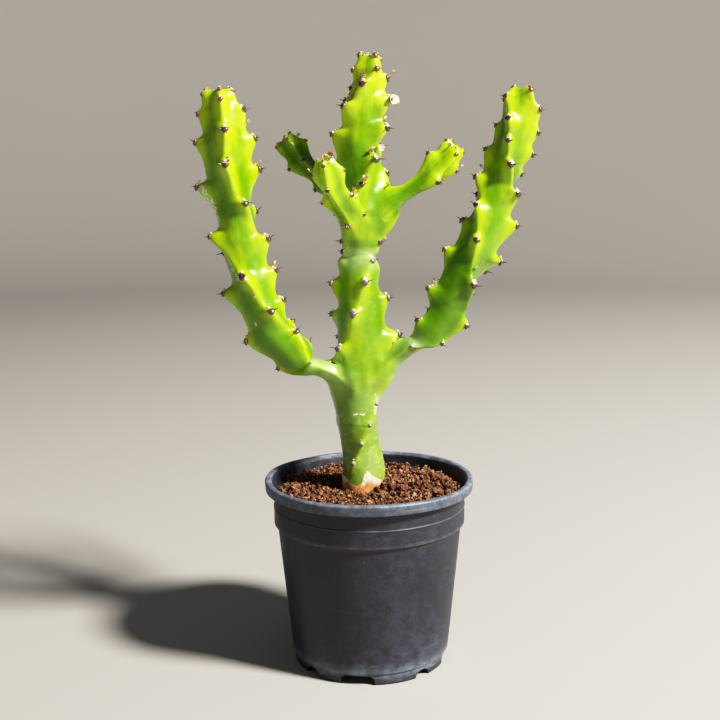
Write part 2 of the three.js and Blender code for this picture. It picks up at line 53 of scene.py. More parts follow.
# Each stem grows along its axis. Girth lists (distance along the stem, radius between the
# ribs). A rib lists its tubercles as (distance, turn, size): turn 0 faces the front and 90
# faces +X. A swell is (distance, turn, height, fade below, fade above, fade across).
STEMS = {
    "trunk": {
        "axis": [(-5, 0, 95), (-5.5, 0, 122), (-6, 0, 150), (-7.5, 0, 173), (-8.2, 0, 192),
                 (-6.8, 0, 214), (-5, 0, 236), (-5.5, 0, 262), (-6, 0, 280), (-5, 0, 299)],
        "girth": [(0, 3), (4, 8), (14, 11.5), (28, 12.6), (40, 13), (50, 12.9), (62, 12.9),
                  (80, 13.8), (98, 14.6), (112, 15.4), (130, 15.6), (150, 14.8), (162, 13.6),
                  (176, 12.4), (188, 11.4), (198, 9.8), (203, 7), (205, 3)],
        "ribs": [
            [(35, -165, .2), (60, -140, .3), (79, -112, .3), (100, -90, .3), (120, -66, .3),
             (132, -46, 1), (158, -14, 1), (180, 16, .9), (195, 44, .5)],
            [(35, -56, 0), (52, -18, .5), (66, 7, .5), (79, 31, .4), (94, 53, .4),
             (112, 68, .3), (126, 76, .5), (141, 84, 1.7), (166, 88, 1.4)],
            [(35, 60, .2), (53, 85, .2), (67, 110, .2), (80, 128, .2), (95, 145, .3),
             (118, 160, .5), (140, 168, 1.2), (165, 172, 1.2), (186, 178, 1)],
            [(35, 160, .2), (60, 175, .3), (79, 200, .3), (100, 215, .3), (120, 225, .6),
             (138, 236, .6), (156, 262, 1.2), (178, 274, 1.4)],
        ],
        "ridge": 1.6, "tubercle": 4.2,
        "swells": [(42, 84, 3.4, 7, 11, 42), (112, -72, 5.5, 12, 8, 28), (116, 78, 6.5, 13, 9, 28),
                   (139, 84, 4, 11, 8, 22), (126, -34, 1.6, 6, 7, 13), (118, -22, 1.8, 7, 7, 13),
                   (109, -9, 1.4, 8, 7, 13), (126, 50, 1.7, 7, 8, 14), (113, 24, 1.5, 8, 8, 14),
                   (194, 284, 3.6, 7, 4.5, 20), (190, 84, 2.2, 7, 5, 20)],
    },
    "crown_stem": {
        "axis": [(-5, 0, 292), (-5, 0, 308), (-4, 0, 325), (-4, 0, 342), (-4.8, 0, 359),
                 (-3.8, 0, 373), (-1.2, 0, 389), (1, 0, 405), (2, 0, 419), (2.5, 0, 431)],
        "girth": [(0, 6), (3, 9), (8, 9.4), (16, 10), (30, 10.6), (45, 10.8), (60, 10.6),
                  (72, 10.2), (84, 9.5), (96, 8.6), (108, 6.5), (120, 4.9), (127, 4),
                  (132, 3.6), (136, 3.2)],
        "ribs": [
            [(4, -60, .1), (21, -24, .5), (49, 3, .8), (65, 38, 1.2),
             (89, 70, 1.4), (107, 84, 1.75), (120, 98, 1.45), (132, 112, .7)],
            [(10, 62, .3), (31, 84, 1), (55, 92, .9), (76, 130, 1.1), (96, 155, 1.1),
             (113, 175, 1.1), (127, 185, .9), (134, 190, .5)],
            [(10, 150, .4), (30, 160, .9), (48, 172, 1.1), (68, 190, 1.1), (88, 218, 1.2),
             (103, 245, 1.1), (113, 262, .6), (125, 270, .9), (134, 290, .6)],
            [(10, 240, .3), (28, 245, .5), (46, 256, .6), (61, 264, .9), (80, 272, 1.5),
             (99, 294, 1.2), (115, 343, 1.2), (126, 396, .9), (134, 402, .5)],
        ],
        "ridge": 4.2, "tubercle": 4,
        "swells": [(22, -62, 1.6, 12, 8, 30), (22, 82, 6, 12, 9, 26)],
    },
    "left_branch": {
        "axis": [(-10, -2, 198.5), (-15, -5, 203), (-24, -10, 211.5), (-34, -15, 217),
                 (-42, -18, 219.5), (-51, -19, 227.5), (-63.5, -20, 240), (-72, -20, 256),
                 (-78, -19, 274), (-82.5, -18, 291.5), (-87, -17, 312.5), (-90.8, -16, 333),
                 (-93, -15, 353), (-94.5, -14, 370), (-96, -13, 386), (-98, -12, 403),
                 (-98, -12, 409)],
        "girth": [(0, 6), (26, 5.2), (38, 5.2), (42, 6.8), (46, 9.4), (52, 10.6), (62, 10.2),
                  (80, 10.8), (100, 10.8), (130, 10.8), (165, 10.4), (188, 12.4),
                  (205, 12.4), (215, 11.3), (225, 9.5), (233, 8), (238.5, 6.8), (241.5, 5.6)],
        "ribs": [
            [(30, 10, 0), (43, 22, .35), (63, 62, .8), (88, 27, 1), (116, -10, 1.1),
             (146, -78, 1.7), (178, -86, 1.9), (208, -88, 1.2), (227, -84, 1), (238.5, -72, .8)],
            [(51, 125, .4), (71, 108, .7), (92, 92, .8), (114, 88, 1.2), (137, 80, 1.4),
             (163, 34, 1.2), (190, 2, 1.1), (213, 8, 1.1), (233.5, 8, .9), (240, 10, .3)],
            [(58, 200, .9), (83, 192, 1.1), (108, 184, 1.1), (132, 165, 1.1), (158, 132, 1.1),
             (186, 98, 1.3), (207, 90, 1.2), (226, 76, 1), (238.5, 64, .6)],
            [(55, 284, .5), (77, 276, 1.3), (108, 268, 1.8), (134, 232, 1.1), (158, 196, 1.1),
             (183, 182, 1.1), (205, 180, 1.1), (224, 178, 1), (238.5, 176, .6)],
        ],
        "ridge": 2.8, "tubercle": 4.4, "swells": [],
    },
    "right_branch": {
        "axis": [(1, -1, 204), (9, -3, 211), (19, -4, 221), (28, -5, 228), (35, -5, 232),
                 (43, -5, 239), (53, -4, 251), (59, -3, 263), (66, -2, 278), (73, 0, 293),
                 (81, 2, 307), (87.5, 4, 325), (91, 6, 339), (95, 7, 354), (100, 8, 368),
                 (104.5, 9, 382), (106.5, 10, 395), (107.5, 10, 407)],
        "girth": [(0, 6.5), (20, 5.8), (40, 5.4), (46, 5.8), (51, 7.4), (58, 8.4), (70, 8.4),
                  (84, 9.6), (108, 9.4), (120, 9.9), (140, 9.7), (156, 8.8),
                  (180, 8.8), (200, 8.6), (216, 8.4), (225, 7.7), (232, 6.7), (236.5, 5.6)],
        "ribs": [
            [(55, 288, .6), (82, 274, 1.3), (111, 267, 1.4), (136, 256, 1), (160, 222, 1.1),
             (190, 196, 1.1), (215, 170, 1.1), (233, 150, .7)],
            [(39, -10, .3), (55, 60, .4), (71, 78, 1.4), (97, 30, 1), (124, -14, 1.1),
             (149, -50, 1.1), (169, -80, 1.3), (188, -92, .9), (207, -105, .6),
             (228, -128, .7)],
            [(66, 150, .8), (90, 140, 1.1), (110, 126, .9), (121, 104, 1.9), (144, 88, 1.7),
             (163, 56, 1.2), (182, 10, 1.1), (197, -16, 1), (212, -34, 1), (229, -58, 1)],
            [(66, 215, .9), (90, 210, 1.1), (115, 204, 1.1), (140, 188, 1.1), (162, 160, 1.1),
             (180, 115, .9), (195, 88, 1.1), (209, 76, .9), (222, 62, .95), (234, 30, .6)],
        ],
        "ridge": 3.4, "tubercle": 4.2, "swells": [],
    },
    "front_arm": {
        "axis": [(-4, -2, 308), (-8, -8, 317), (-17, -18, 331), (-22.5, -26, 343),
                 (-26, -31, 354), (-27.5, -33, 360)],
        "girth": [(0, 3), (8, 4.2), (18, 5.8), (32, 5.6), (44, 5.6), (53, 6.2), (58, 5.8),
                  (61.5, 5), (64, 3.8)],
        "ribs": [
            [(36, -84, 1.5), (56, -80, 1.1)],
            [(47, -24, 1), (61, -10, .8)],
            [(16, 50, .5), (34, 62, .8), (53, 80, .9)],
            [(44, 170, 1.1), (58, 168, 1)],
        ],
        "ridge": 2, "tubercle": 2.9, "swells": [],
    },
    "back_arm": {
        "axis": [(-5, 4, 320), (-12, 10, 326.5), (-23, 18, 337.5), (-34, 24, 347.5),
                 (-46, 28, 358.5), (-57, 32, 372)],
        "girth": [(0, 5), (18, 6), (34, 4.4), (50, 4.4), (64, 5.2), (72, 5.1), (77, 4.3),
                  (80, 3.2)],
        "ribs": [
            [(38, -80, 1), (61, -74, 1.3), (77, -60, 1)],
            [(42, 20, .5), (58, 14, .6), (76, 16, .9)],
            [(44, 95, .5), (69, 84, 1.3), (79, 60, .7)],
            [(50, 185, .9), (72, 184, 1)],
        ],
        "ridge": 1.8, "tubercle": 3.2, "swells": [],
    },
    "right_arm": {
        "axis": [(0, -1, 315), (6, -2, 321), (20, -4, 332), (31, -5, 338.5), (41, -5, 346),
                 (51, -4, 356), (60, -2, 367)],
        "girth": [(0, 4), (12, 5.6), (22, 6), (34, 4.6), (46, 4.7), (58, 5.5), (68, 5.1),
                  (75, 4.6), (80, 3.3)],
        "ribs": [
            [(40, -80, 0), (63, -78, 1.3), (77, -56, 1)],
            [(53, 40, 1.3), (74, 26, .8)],
            [(40, 110, 0), (67, 88, 1.3), (78, 70, .8)],
            [(56, 190, .9), (72, 186, 1)],
        ],
        "ridge": 1.8, "tubercle": 3.3, "swells": [],
    },
}

# Which stem grows out of which, and how wide the skin blends between them.
JOINS = [("trunk", "left_branch", 9), ("trunk", "right_branch", 9),
         ("trunk", "crown_stem", 3), ("crown_stem", "front_arm", 14),
         ("crown_stem", "back_arm", 12), ("crown_stem", "right_arm", 16)]

# Pale waxy bloom on the necks: centre, reach and strength of each patch.
BLOOM = [(-41, -18, 219, 9, 0.9), (-30, -14, 213, 9, 0.8), (-22, -10, 207, 8, 0.6),
         (34, -5, 230, 10, 0.75), (24, -6, 220, 8, 0.5), (14, -8, 209, 5, 0.25),
         (2, -14, 193, 11, 0.3), (8, -12, 172, 9, 0.22), (3, -15, 147, 11, 0.42)]
NECKS = {"left_branch": 42, "right_branch": 50}  # where a neck widens into its branch
CREASE = {"height": 0.1768, "reach": 0.0018}  # the trunk's healed crease, in metres

# Height up to which the trunk's heel is corky, at each turn.
HEEL = [(-180, 133), (-120, 134), (-90, 136.7), (-55, 137.2), (-37, 135.4), (-28, 131.2),
        (-13, 131.2), (-1, 131.6), (6, 135.6), (10, 140), (20, 142), (30, 139.4), (49, 136),
        (68, 132.3), (85, 132.2), (130, 134.5), (180, 133)]

# White healed scars on each stem: both ends as (x, z) and half width.
SCARS = {
    "trunk": [((5.4, 190.0), (4.8, 183), 1.1), ((-10.0, 183.0), (-7.6, 183.4), 0.7),
              ((-6.2, 183.3), (-3.0, 182.9), 0.7), ((5.6, 196.5), (5.1, 195), 1.3)],
    "left_branch": [((-111, 341), (-107, 335), 2.4), ((-107, 335), (-103.5, 328), 2.8),
                    ((-103.5, 328), (-101, 316), 2.2), ((-90.8, 286.9), (-90.6, 286.0), 1.2),
                    ((-75.8, 269.4), (-75.6, 268.6), 1.2), ((-76.3, 249.9), (-76.0, 248.7), 1.1)],
}

# Painted shade on each stem as stretches of deeper green, and painted light as sunnier ones
# where the share is below nought: both ends as (x, z), half width and share.
PAINTED_SHADING = {
    "trunk": [((8, 281), (8.5, 242), 4, 0.6), ((-12, 280), (-11, 262), 5, -0.7),
              ((-6, 234), (-2, 206), 8, -0.8)],
    "crown_stem": [((-4, 346), (1, 360), 8, 0.7), ((-9, 384), (-8, 374), 5, -0.9),
                   ((10, 392), (8, 372), 4, 0.9), ((-5, 337), (-6, 327), 4, 0.5),
                   ((-9, 310), (2, 307), 5, -0.8), ((14, 326), (5, 301), 5, 0.55),
                   ((-16, 322), (-9, 300), 4, 0.4)],
    "left_branch": [((-98, 319), (-89, 310), 6, -0.8), ((-86, 298), (-82, 286), 6, -0.6),
                    ((-74, 236), (-56, 219), 5, 0.5)],
    "right_branch": [((36, 232), (66, 278), 17, 0.9), ((101.5, 339), (97, 378), 5, 0.7),
                     ((52, 238), (66, 256), 7, 0.5), ((92, 346), (93, 334), 4, -0.5)],
    "right_arm": [((22, 326), (42, 338), 5, 0.6)],
    "back_arm": [((-62, 376), (-24, 342), 17, 0.9)],
}

# Dried flowers, in the order of their CAD nodes: stem, distance, turn, cup radius, stalk
# length, cups in the cluster.
FLOWERS = [
    ("crown_stem", 107, 88, 3.8, 2.5, 1), ("crown_stem", 121, 98, 2, 4, 1),
    ("crown_stem", 106, -80, 3, 2.4, 2), ("crown_stem", 94, 84, 2.2, 1.5, 3),
    ("crown_stem", 75, 70, 2.6, 5, 1), ("crown_stem", 71, 34, 2.4, 2, 2),
    ("crown_stem", 52, 6, 2.4, 1.5, 3), ("front_arm", 34, 64, 2.2, 1.2, 2),
    ("front_arm", 17, -30, 1.8, 1.2, 1), ("crown_stem", 12, 70, 1.5, 1.5, 1),
    ("front_arm", 59.5, 172, 3.8, 5, 1), ("front_arm", 58, -86, 2, 1.5, 2),
    ("back_arm", 75, 64, 2, 1, 1), ("right_arm", 56, 40, 1.8, 1.8, 2),
    ("right_arm", 70, 86, 1.8, 1.8, 1), ("right_arm", 78, -30, 1.8, 1, 2),
    ("left_branch", 217, 88, 2, 2, 1), ("left_branch", 190, 96, 2, 2, 1),
    ("left_branch", 119, 88, 2.4, 2, 1), ("left_branch", 195, 8, 1.6, 1.2, 2),
    ("right_branch", 177, -84, 1.8, 2, 1), ("right_branch", 88, -86, 2.4, 1.5, 1),
    ("right_branch", 108, 28, 2, 2, 1), ("crown_stem", 121.5, -30, 3.2, 1.6, 2),
]

# A dried flower's section from the foot of its stalk over its lip to its heart: the radius as
# a share of the cup's, the height (below nought in millimetres, up to 1 as a share of the
# stalk, and beyond as a share of the cup) and how far it is the brown heart.
CUP = [(0.0, -1.5, 0), (0.14, -1.5, 0), (0.15, 0.0, 0), (0.20, 0.55, 0), (0.40, 0.97, 0),
       (0.72, 1.06, 0), (0.93, 1.18, 0), (1.0, 1.30, 0), (0.97, 1.32, 0), (0.7, 1.11, 0),
       (0.42, 1.03, 0.2), (0.24, 1.06, 0.6), (0.12, 1.14, 1), (0.0, 1.16, 1)]
BROAD = 2.5  # a single cup over this radius opens wide

# The pot's section: radii and heights. A notch is (turn, width, height, square corners).
POT = {
    "height": 134.6, "wall": 1.8, "lip": 75.0, "lip_inside": 69.0, "lip_under": 127.2,
    "collar": 68.7, "collar_foot": 102.7, "ledge": 115.5, "body_top": 99.5,
    "body_top_radius": 66.0, "body_foot": 8.0, "body_foot_radius": 56.8, "foot": 55.2,
    "foot_inside": 51.8, "floor_under": 7.4, "floor_top": 9.2,
}
NOTCHES = [(-9.6, 24.0, 7.2, True), (41.6, 13.0, 5.8, False)]
NOTCH_ROOF = 6.5  # height that a lifted foot never passes
DRAIN = {"circle": 34.0, "radius": 5.0, "turn": 35.4, "depth": 1.9}
DENT = {"turn": 222, "height": 130, "depth": 1.6, "least_radius": 60}  # in the side

# The soil's side, and the bare ring that loose pieces leave round the trunk.
SOIL = {"gap": 0.4, "foot_gap": 0.5, "foot_slope": 2, "foot_rise": 3, "shoulder": 99,
        "collar": 105, "skirt": 120, "trunk_x": -5, "crumb_ring": 13.5, "fibre_ring": 15}
# Heaps (x, y, reach, height) to the trunk's right, and hollows to its left and before it.
HEAPS = [(14, -2, 13, 3.6), (-23, -1, 11, -3.0), (-5, -17, 11, -2.2)]

# The camera in metres and degrees, the one lamp in metres and watts, and the sky.
CAMERA = {"back": 0.7926, "height": 0.3553, "pitch": 9.73, "yaw": -0.41, "roll": -0.58,
          "lens": 56.85, "sensor": 36.0}
LAMP = {"place": (2.15, -1.20, 2.25), "target": (0, 0, 0.24), "size": 0.55, "power": 275,
        "colour": (1.0, 0.965, 0.88)}
SKY = {"colour": (0.86, 0.88, 0.92), "strength": 0.145}
BOWL = {"middle": 0.02, "flat": 2.6, "bend": 1.2, "rim": -8}  # the floor, rim in degrees

# What a film shows for the light that falls on it, up to its white.
FILM = [(0.02, 0.012), (0.05, 0.038), (0.10, 0.094), (0.20, 0.225), (0.40, 0.48), (0.60, 0.67),
        (0.80, 0.80), (1.0, 0.88), (1.3, 0.96)]
FILM_WHITE = 1.6


# ------------------------------------------------------------------ settings
def length_of(name, size, description):
    """A length that a user can change, its default given in millimetres."""
    return bpy.props.FloatProperty(name=name, description=description, default=size * MM,
                                   unit="LENGTH")


def number_of(name, default, top, description):
    """A number of things that a user can change."""
    return bpy.props.IntProperty(name=name, description=description, default=default, min=0,
                                 max=top)


def colour_of(name, default, description):
    """A colour that a user can change."""
    return bpy.props.FloatVectorProperty(name=name, description=description, default=default,
                                         subtype="COLOR", size=3)


class StemSettings(bpy.types.PropertyGroup):
    """Shape of the ribs, the tubercles and the skin's mesh."""
    rib_width: bpy.props.FloatProperty(
        name="Rib width", default=17.0, min=5.0, max=60.0,
        description="Degrees over which a ridge fades into the face beside it")
    rib_round: bpy.props.FloatProperty(
        name="Rib rounding", default=8.0, min=0.5, max=20.0,
        description="Degrees over which a ridge's crest is rounded")
    lean: bpy.props.FloatProperty(
        name="Lean", default=0.28, min=0.0, max=1.0,
        description="Share of a tubercle's height that leans up the stem")
    tip_width: length_of("Tubercle half width", 4.6, "Half width of a tubercle across its ridge")
    rise_below: length_of("Rise below", 8.2, "Length over which a tubercle swells from below")
    fall_above: length_of("Fall above", 4.8, "Length over which a tubercle stops above")
    tip_lobe: length_of("Tip lobes", 1.5, "How far the ribs stand up round the dished tip")
    mesh_step: length_of("Mesh step", 0.75, "Distance between the skin's grid lines")
    skin_wave: length_of("Skin unevenness", 0.28, "Height of the gentle unevenness of the skin")
    columns_per_rib: bpy.props.IntProperty(
        name="Columns per rib", default=36, min=8, max=60,
        description="Grid columns from one rib to the next")


class SpineSettings(bpy.types.PropertyGroup):
    """Sizes of the horny shields and their spines."""
    shield_length: length_of("Shield length", 5.4, "Length of the shield on a tubercle's tip")
    shield_width: length_of("Shield width", 5.2, "Width of the shield")
    spine_length: length_of("Spine length", 5.2, "Length of each of a shield's two spines")
    spine_radius: length_of("Spine radius", 0.5, "Radius of a spine at its foot")


class PotSettings(bpy.types.PropertyGroup):
    """Wall and mesh of the nursery pot."""
    wall: length_of("Wall", POT["wall"], "Thickness of the moulded wall")
    wobble: length_of("Wobble", 0.35, "How far the thin wall strays from round")
    columns: bpy.props.IntProperty(
        name="Columns", default=272, min=48, max=720,
        description="Grid columns round the pot")


class SoilSettings(bpy.types.PropertyGroup):
    """Level of the soil and what lies on it."""
    top: length_of("Soil level", 126.2, "Mean height of the soil above the floor")
    lump: length_of("Lumps", 2.0, "Height of the surface's lumps")
    crumbs: number_of("Crumbs", 8800, 9000, "Loose crumbs that lie on the soil")
    fine_crumbs: number_of("Fine crumbs", 9000, 20000, "Grains between the crumbs")
    fibres: number_of("Fibres", 260, 2000, "Short coir fibres among the crumbs")


class ColourSettings(bpy.types.PropertyGroup):
    """The colours of every finish."""
    sunny_skin: colour_of("Sunny skin", (0.33, 0.52, 0.0), "Yellow-green of the ribs in the sun")
    young_skin: colour_of("Young skin", (0.45, 0.60, 0.02),
                          "Paler yellow-green of the ribs near the tips")
    deep_skin: colour_of("Deep skin", (0.095, 0.235, 0.0), "Green of the faces between the ribs")
    old_skin: colour_of("Old skin", (0.19, 0.31, 0.006), "Duller green of the trunk")
    bloom: colour_of("Bloom", (0.42, 0.58, 0.24), "Pale waxy bloom on necks and rings")
    cork: colour_of("Cork", (0.72, 0.27, 0.085), "Healed corky heel of the trunk")
    shield: colour_of("Shield", (0.045, 0.013, 0.020), "Purple-brown of the spine shields")
    old_shield: colour_of("Old shield", (0.55, 0.52, 0.56), "Weathered silver of old shields")
    petal: colour_of("Dried flower", (0.46, 0.27, 0.12), "Straw of the dried flowers")
    pot: colour_of("Pot", (0.0125, 0.0135, 0.0215), "Charcoal of the pot")
    soil: colour_of("Soil", (0.185, 0.078, 0.036), "Red-brown of the coir")
    floor: colour_of("Floor", (0.40, 0.38, 0.36), "Pale studio floor")


class PlantSettings(bpy.types.PropertyGroup):
    """All settings of the potted plant."""
    stems: bpy.props.PointerProperty(type=StemSettings)
    spines: bpy.props.PointerProperty(type=SpineSettings)
    pot: bpy.props.PointerProperty(type=PotSettings)
    soil: bpy.props.PointerProperty(type=SoilSettings)
    colours: bpy.props.PointerProperty(type=ColourSettings)


# ------------------------------------------------------------------ curves and surfaces
def through(knots, x):
    """Cubic curve through (x, y) knots; a knot's slope is that of the line between its
    neighbours, and the curve is held level beyond the first and last knot."""
    k = np.asarray(knots, float)
    place, height = k[:, 0], k[:, 1]
    slope = np.empty_like(height)
    slope[1:-1] = (height[2:] - height[:-2]) / (place[2:] - place[:-2])
    slope[0] = (height[1] - height[0]) / (place[1] - place[0])
    slope[-1] = (height[-1] - height[-2]) / (place[-1] - place[-2])
    x = np.clip(x, place[0], place[-1])
    i = np.clip(np.searchsorted(place, x) - 1, 0, len(place) - 2)
    width = place[i + 1] - place[i]
    t = (x - place[i]) / width
    ends = height[i] * (2 * t**3 - 3 * t**2 + 1) + height[i + 1] * (3 * t**2 - 2 * t**3)
    bends = slope[i] * (t**3 - 2 * t**2 + t) + slope[i + 1] * (t**3 - t**2)
    return ends + width * bends


def bell(x, before, after):
    """exp(-(x / width)^2), with one width below zero and another above."""
    return np.exp(-(x / np.where(x < 0, before, after)) ** 2)


def fold(off, width, rounding):
    """A ridge's height beside its crest, exp(-(sqrt(off^2 + rounding^2) - rounding) / width):
    flat faces that meet in a rounded edge."""
    return np.exp((rounding - np.hypot(off, rounding)) / width)


def nose(x, below, above):
    """A tubercle along its rib: exp(-(x / below)^2) below its tip and the blunter
    exp(-(x / above)^2.5) above it."""
    return np.exp(-np.where(x < 0, (x / below) ** 2, np.abs(x / above) ** 2.5))


def unit(vectors):
    """Vectors brought to length 1."""
    return vectors / np.linalg.norm(vectors, axis=-1, keepdims=True)


def turn_between(a, b):
    """Difference of two turns in degrees, brought to -180..180."""
    return np.mod(a - b + 180, 360) - 180


def ripple(points, scale, seed, waves=14):
    """A smooth field, mostly from -1 to 1: a sum of sine waves of about the given length
    that run in seeded random directions."""
    rng = np.random.default_rng(seed)
    total = np.zeros(points.shape[:-1])
    for _ in range(waves):
        direction = rng.normal(size=3)
        direction *= 2 * np.pi / (scale * rng.uniform(0.7, 1.5) * np.linalg.norm(direction))
        total += np.sin(points @ direction + rng.uniform(0, 2 * np.pi))
    return total * 0.42 / math.sqrt(waves / 2)


def smoothstep(low, high, x):
    """From 0 at low to 1 at high along 3 t^2 - 2 t^3, level outside; low may be the higher."""
    t = np.clip((x - low) / (high - low), 0, 1)
    return t * t * (3 - 2 * t)


class Stem:
    """The surface of one stem, in metres. At a distance s along the axis and a turn about
    it, the skin stands off the axis by the girth, plus a ridge that fades away from each
    rib, plus a tubercle at each of the rib's marks, plus the swellings."""

    def __init__(self, name, settings):
        plan = STEMS[name]
        self.name = name
        self.settings = settings
        self.girth = np.asarray(plan["girth"], float) * MM
        self.ribs = [np.asarray(rib, float) * (MM, 1, 1) for rib in plan["ribs"]]
        self.ridge = plan["ridge"] * MM
        self.tubercle = plan["tubercle"] * MM
        self.lobe = 0 if name == "trunk" else settings.tip_lobe
        self.swells = [np.asarray(s) * (MM, 1, MM, MM, MM, 1) for s in plan["swells"]]
        self.length = self.girth[-1, 0]
        self.line, self.walked = self._axis(np.asarray(plan["axis"], float) * MM)

    @staticmethod
    def _axis(points, samples=1600):
        """A Catmull-Rom curve through the points, with the distance walked along it."""
        ends = np.vstack([2 * points[0] - points[1], points, 2 * points[-1] - points[-2]])
        t = np.linspace(0, len(points) - 1, samples)
        i = np.minimum(t.astype(int), len(points) - 2)
        w = (t - i)[:, None]
        a, b, c, d = ends[i], ends[i + 1], ends[i + 2], ends[i + 3]
        line = ((2 * w**3 - 3 * w**2 + 1) * b + (3 * w**2 - 2 * w**3) * c
                + (w**3 - 2 * w**2 + w) * (c - a) / 2 + (w**3 - w**2) * (d - b) / 2)
        steps = np.linalg.norm(np.diff(line, axis=0), axis=1)
        return line, np.concatenate([[0], np.cumsum(steps)])

    def centre(self, s):
        """The axis at a distance s along it, between the points of the curve."""
        s = np.clip(s, 0, self.walked[-1])
        return np.stack([np.interp(s, self.walked, self.line[:, k]) for k in range(3)], -1)

    def frame(self, s):
        """Centre, direction along from two points close by, direction to the front (what is
        left of -Y at right angles to it) and direction to the side."""
        step, ahead = 0.6 * MM, np.array([0, -1.0, 0])
        s = np.asarray(s, float)
        high = np.minimum(s + step, self.walked[-1])
        low = np.maximum(high - 2 * step, 0)
        along = unit(self.centre(high) - self.centre(low))
        front = unit(ahead - along * (along @ ahead)[..., None])
        return self.centre(s), along, front, np.cross(along, front)

    def skin(self, s, turn):
        """Radius and lean at s and turn, with the share of ridge and tubercle there."""
        set_ = self.settings
        girth = through(self.girth, s)
        share = np.clip(girth / self.girth[:, 1].max(), 0, 1)
        tip_fade = np.degrees(set_.tip_width / (girth + 3 * MM))  # half width as a turn
        radius = girth + np.zeros_like(turn)
        crest, knob = np.zeros_like(radius), np.zeros_like(radius)
        for rib in self.ribs:
            off = turn_between(turn, through(rib[:, :2], s))
            ridge = fold(off, set_.rib_width, set_.rib_round)
            crest = np.maximum(crest, ridge)
            radius += self.ridge * share * ridge
            across = fold(off, 0.66 * tip_fade, 0.5 * tip_fade)
            for place, _, size in rib:
                knob += size * across * nose(s - place, set_.rise_below, set_.fall_above)
        for place, facing, height, below, above, across in self.swells:
            off = turn_between(turn, facing)
            radius += height * bell(s - place, below, above) * bell(off, across, across)
        radius += self.tubercle * knob
        lobe = self.lobe * smoothstep(7 * MM, 0, self.length - s) * crest
        return radius, set_.lean * self.tubercle * knob + lobe, crest, knob

    def point(self, s, turn, extra=0.0):
        """A point of the skin, and the direction from the axis to it."""
        centre, along, front, side = self.frame(s)
        radius, lean, _, _ = self.skin(s, turn)
        angle = np.radians(turn)[..., None]
        outward = np.cos(angle) * front + np.sin(angle) * side
        return centre + (radius + extra)[..., None] * outward + lean[..., None] * along, outward

    def turns(self, s):
        """One row of turns for each s: columns on every rib and evenly between two."""
        mid = self.length / 2
        order = sorted(self.ribs, key=lambda rib: through(rib[:, :2], mid) % 360)
        first = through(order[0][:, :2], s)
        ribs = [first + np.mod(through(rib[:, :2], s) - first, 360) for rib in order]
        ribs = np.stack(ribs + [first + 360], axis=1)
        part = np.arange(self.settings.columns_per_rib) / self.settings.columns_per_rib
        gaps = ribs[:, :-1, None] + (ribs[:, 1:] - ribs[:, :-1])[..., None] * part
        return gaps.reshape(len(s), -1)

    def nearest(self, points):
        """The distance along the stem of the axis mark that is nearest to each point, worked
        out for a batch of points at a time."""
        marks, batch = np.linspace(0, self.length, 160), 20000
        line = self.centre(marks)
        s = np.empty(len(points))
        for part in np.array_split(np.arange(len(points)), max(1, len(points) // batch)):
            gaps = ((points[part, None] - line) ** 2).sum(-1)
            s[part] = marks[np.argmin(gaps, axis=1)]
        return s

    def over(self, points, s):
        """How high points lie over the skin, the skin's shares of ridge and tubercle below
        them, and their distance along the stem, improved from a guess."""
        for _ in range(2):
            centre, along, _, _ = self.frame(s)
            s = np.clip(s + ((points - centre) * along).sum(-1), 0, self.length)
        centre, along, front, side = self.frame(s)
        away = points - centre
        turn = np.degrees(np.arctan2((away * side).sum(-1), (away * front).sum(-1)))
        lean = self.skin(s, turn)[1]
        radius, _, crest, knob = self.skin(s - lean, turn)
        return np.linalg.norm(away, axis=1) - radius, crest, knob, s


# ------------------------------------------------------------------ mesh helpers
def grid_faces(rows, columns, wrap=True):
    """Quads between the rows of a grid, closed round its columns if wrap is set."""
    i = np.arange(rows - 1)[:, None]
    j = np.arange(columns if wrap else columns - 1)[None]
    k = (j + 1) % columns
    corners = np.stack([i * columns + j, i * columns + k, (i + 1) * columns + k,
                        (i + 1) * columns + j], -1)
    return corners.reshape(-1, 4)


def fan_faces(pole, ring, forward):
    """Triangles from a pole to a ring of corners."""
    after = np.roll(ring, -1)
    first, second = (ring, after) if forward else (after, ring)
    return np.stack([np.full(len(ring), pole), first, second], -1)


def caps(rows, columns, first, last):
    """Triangles that close a grid's first row on one pole and its last row on another."""
    ring = np.arange(columns)
    return np.concatenate([fan_faces(first, ring, False),
                           fan_faces(last, (rows - 1) * columns + ring, True)])


def corner_normals(points, quads, triangles):
    """A normal for each corner: the sum of the crossed diagonals of its quads and of the
    crossed sides of its triangles, brought to length 1."""
    total = np.zeros_like(points)
    a, b, c, d = (points[quads[:, k]] for k in range(4))
    across = np.cross(c - a, d - b)
    for k in range(4):
        np.add.at(total, quads[:, k], across)
    a, b, c = (points[triangles[:, k]] for k in range(3))
    for k in range(3):
        np.add.at(total, triangles[:, k], np.cross(b - a, c - a))
    return total / np.maximum(np.linalg.norm(total, axis=1, keepdims=True), 1e-12)


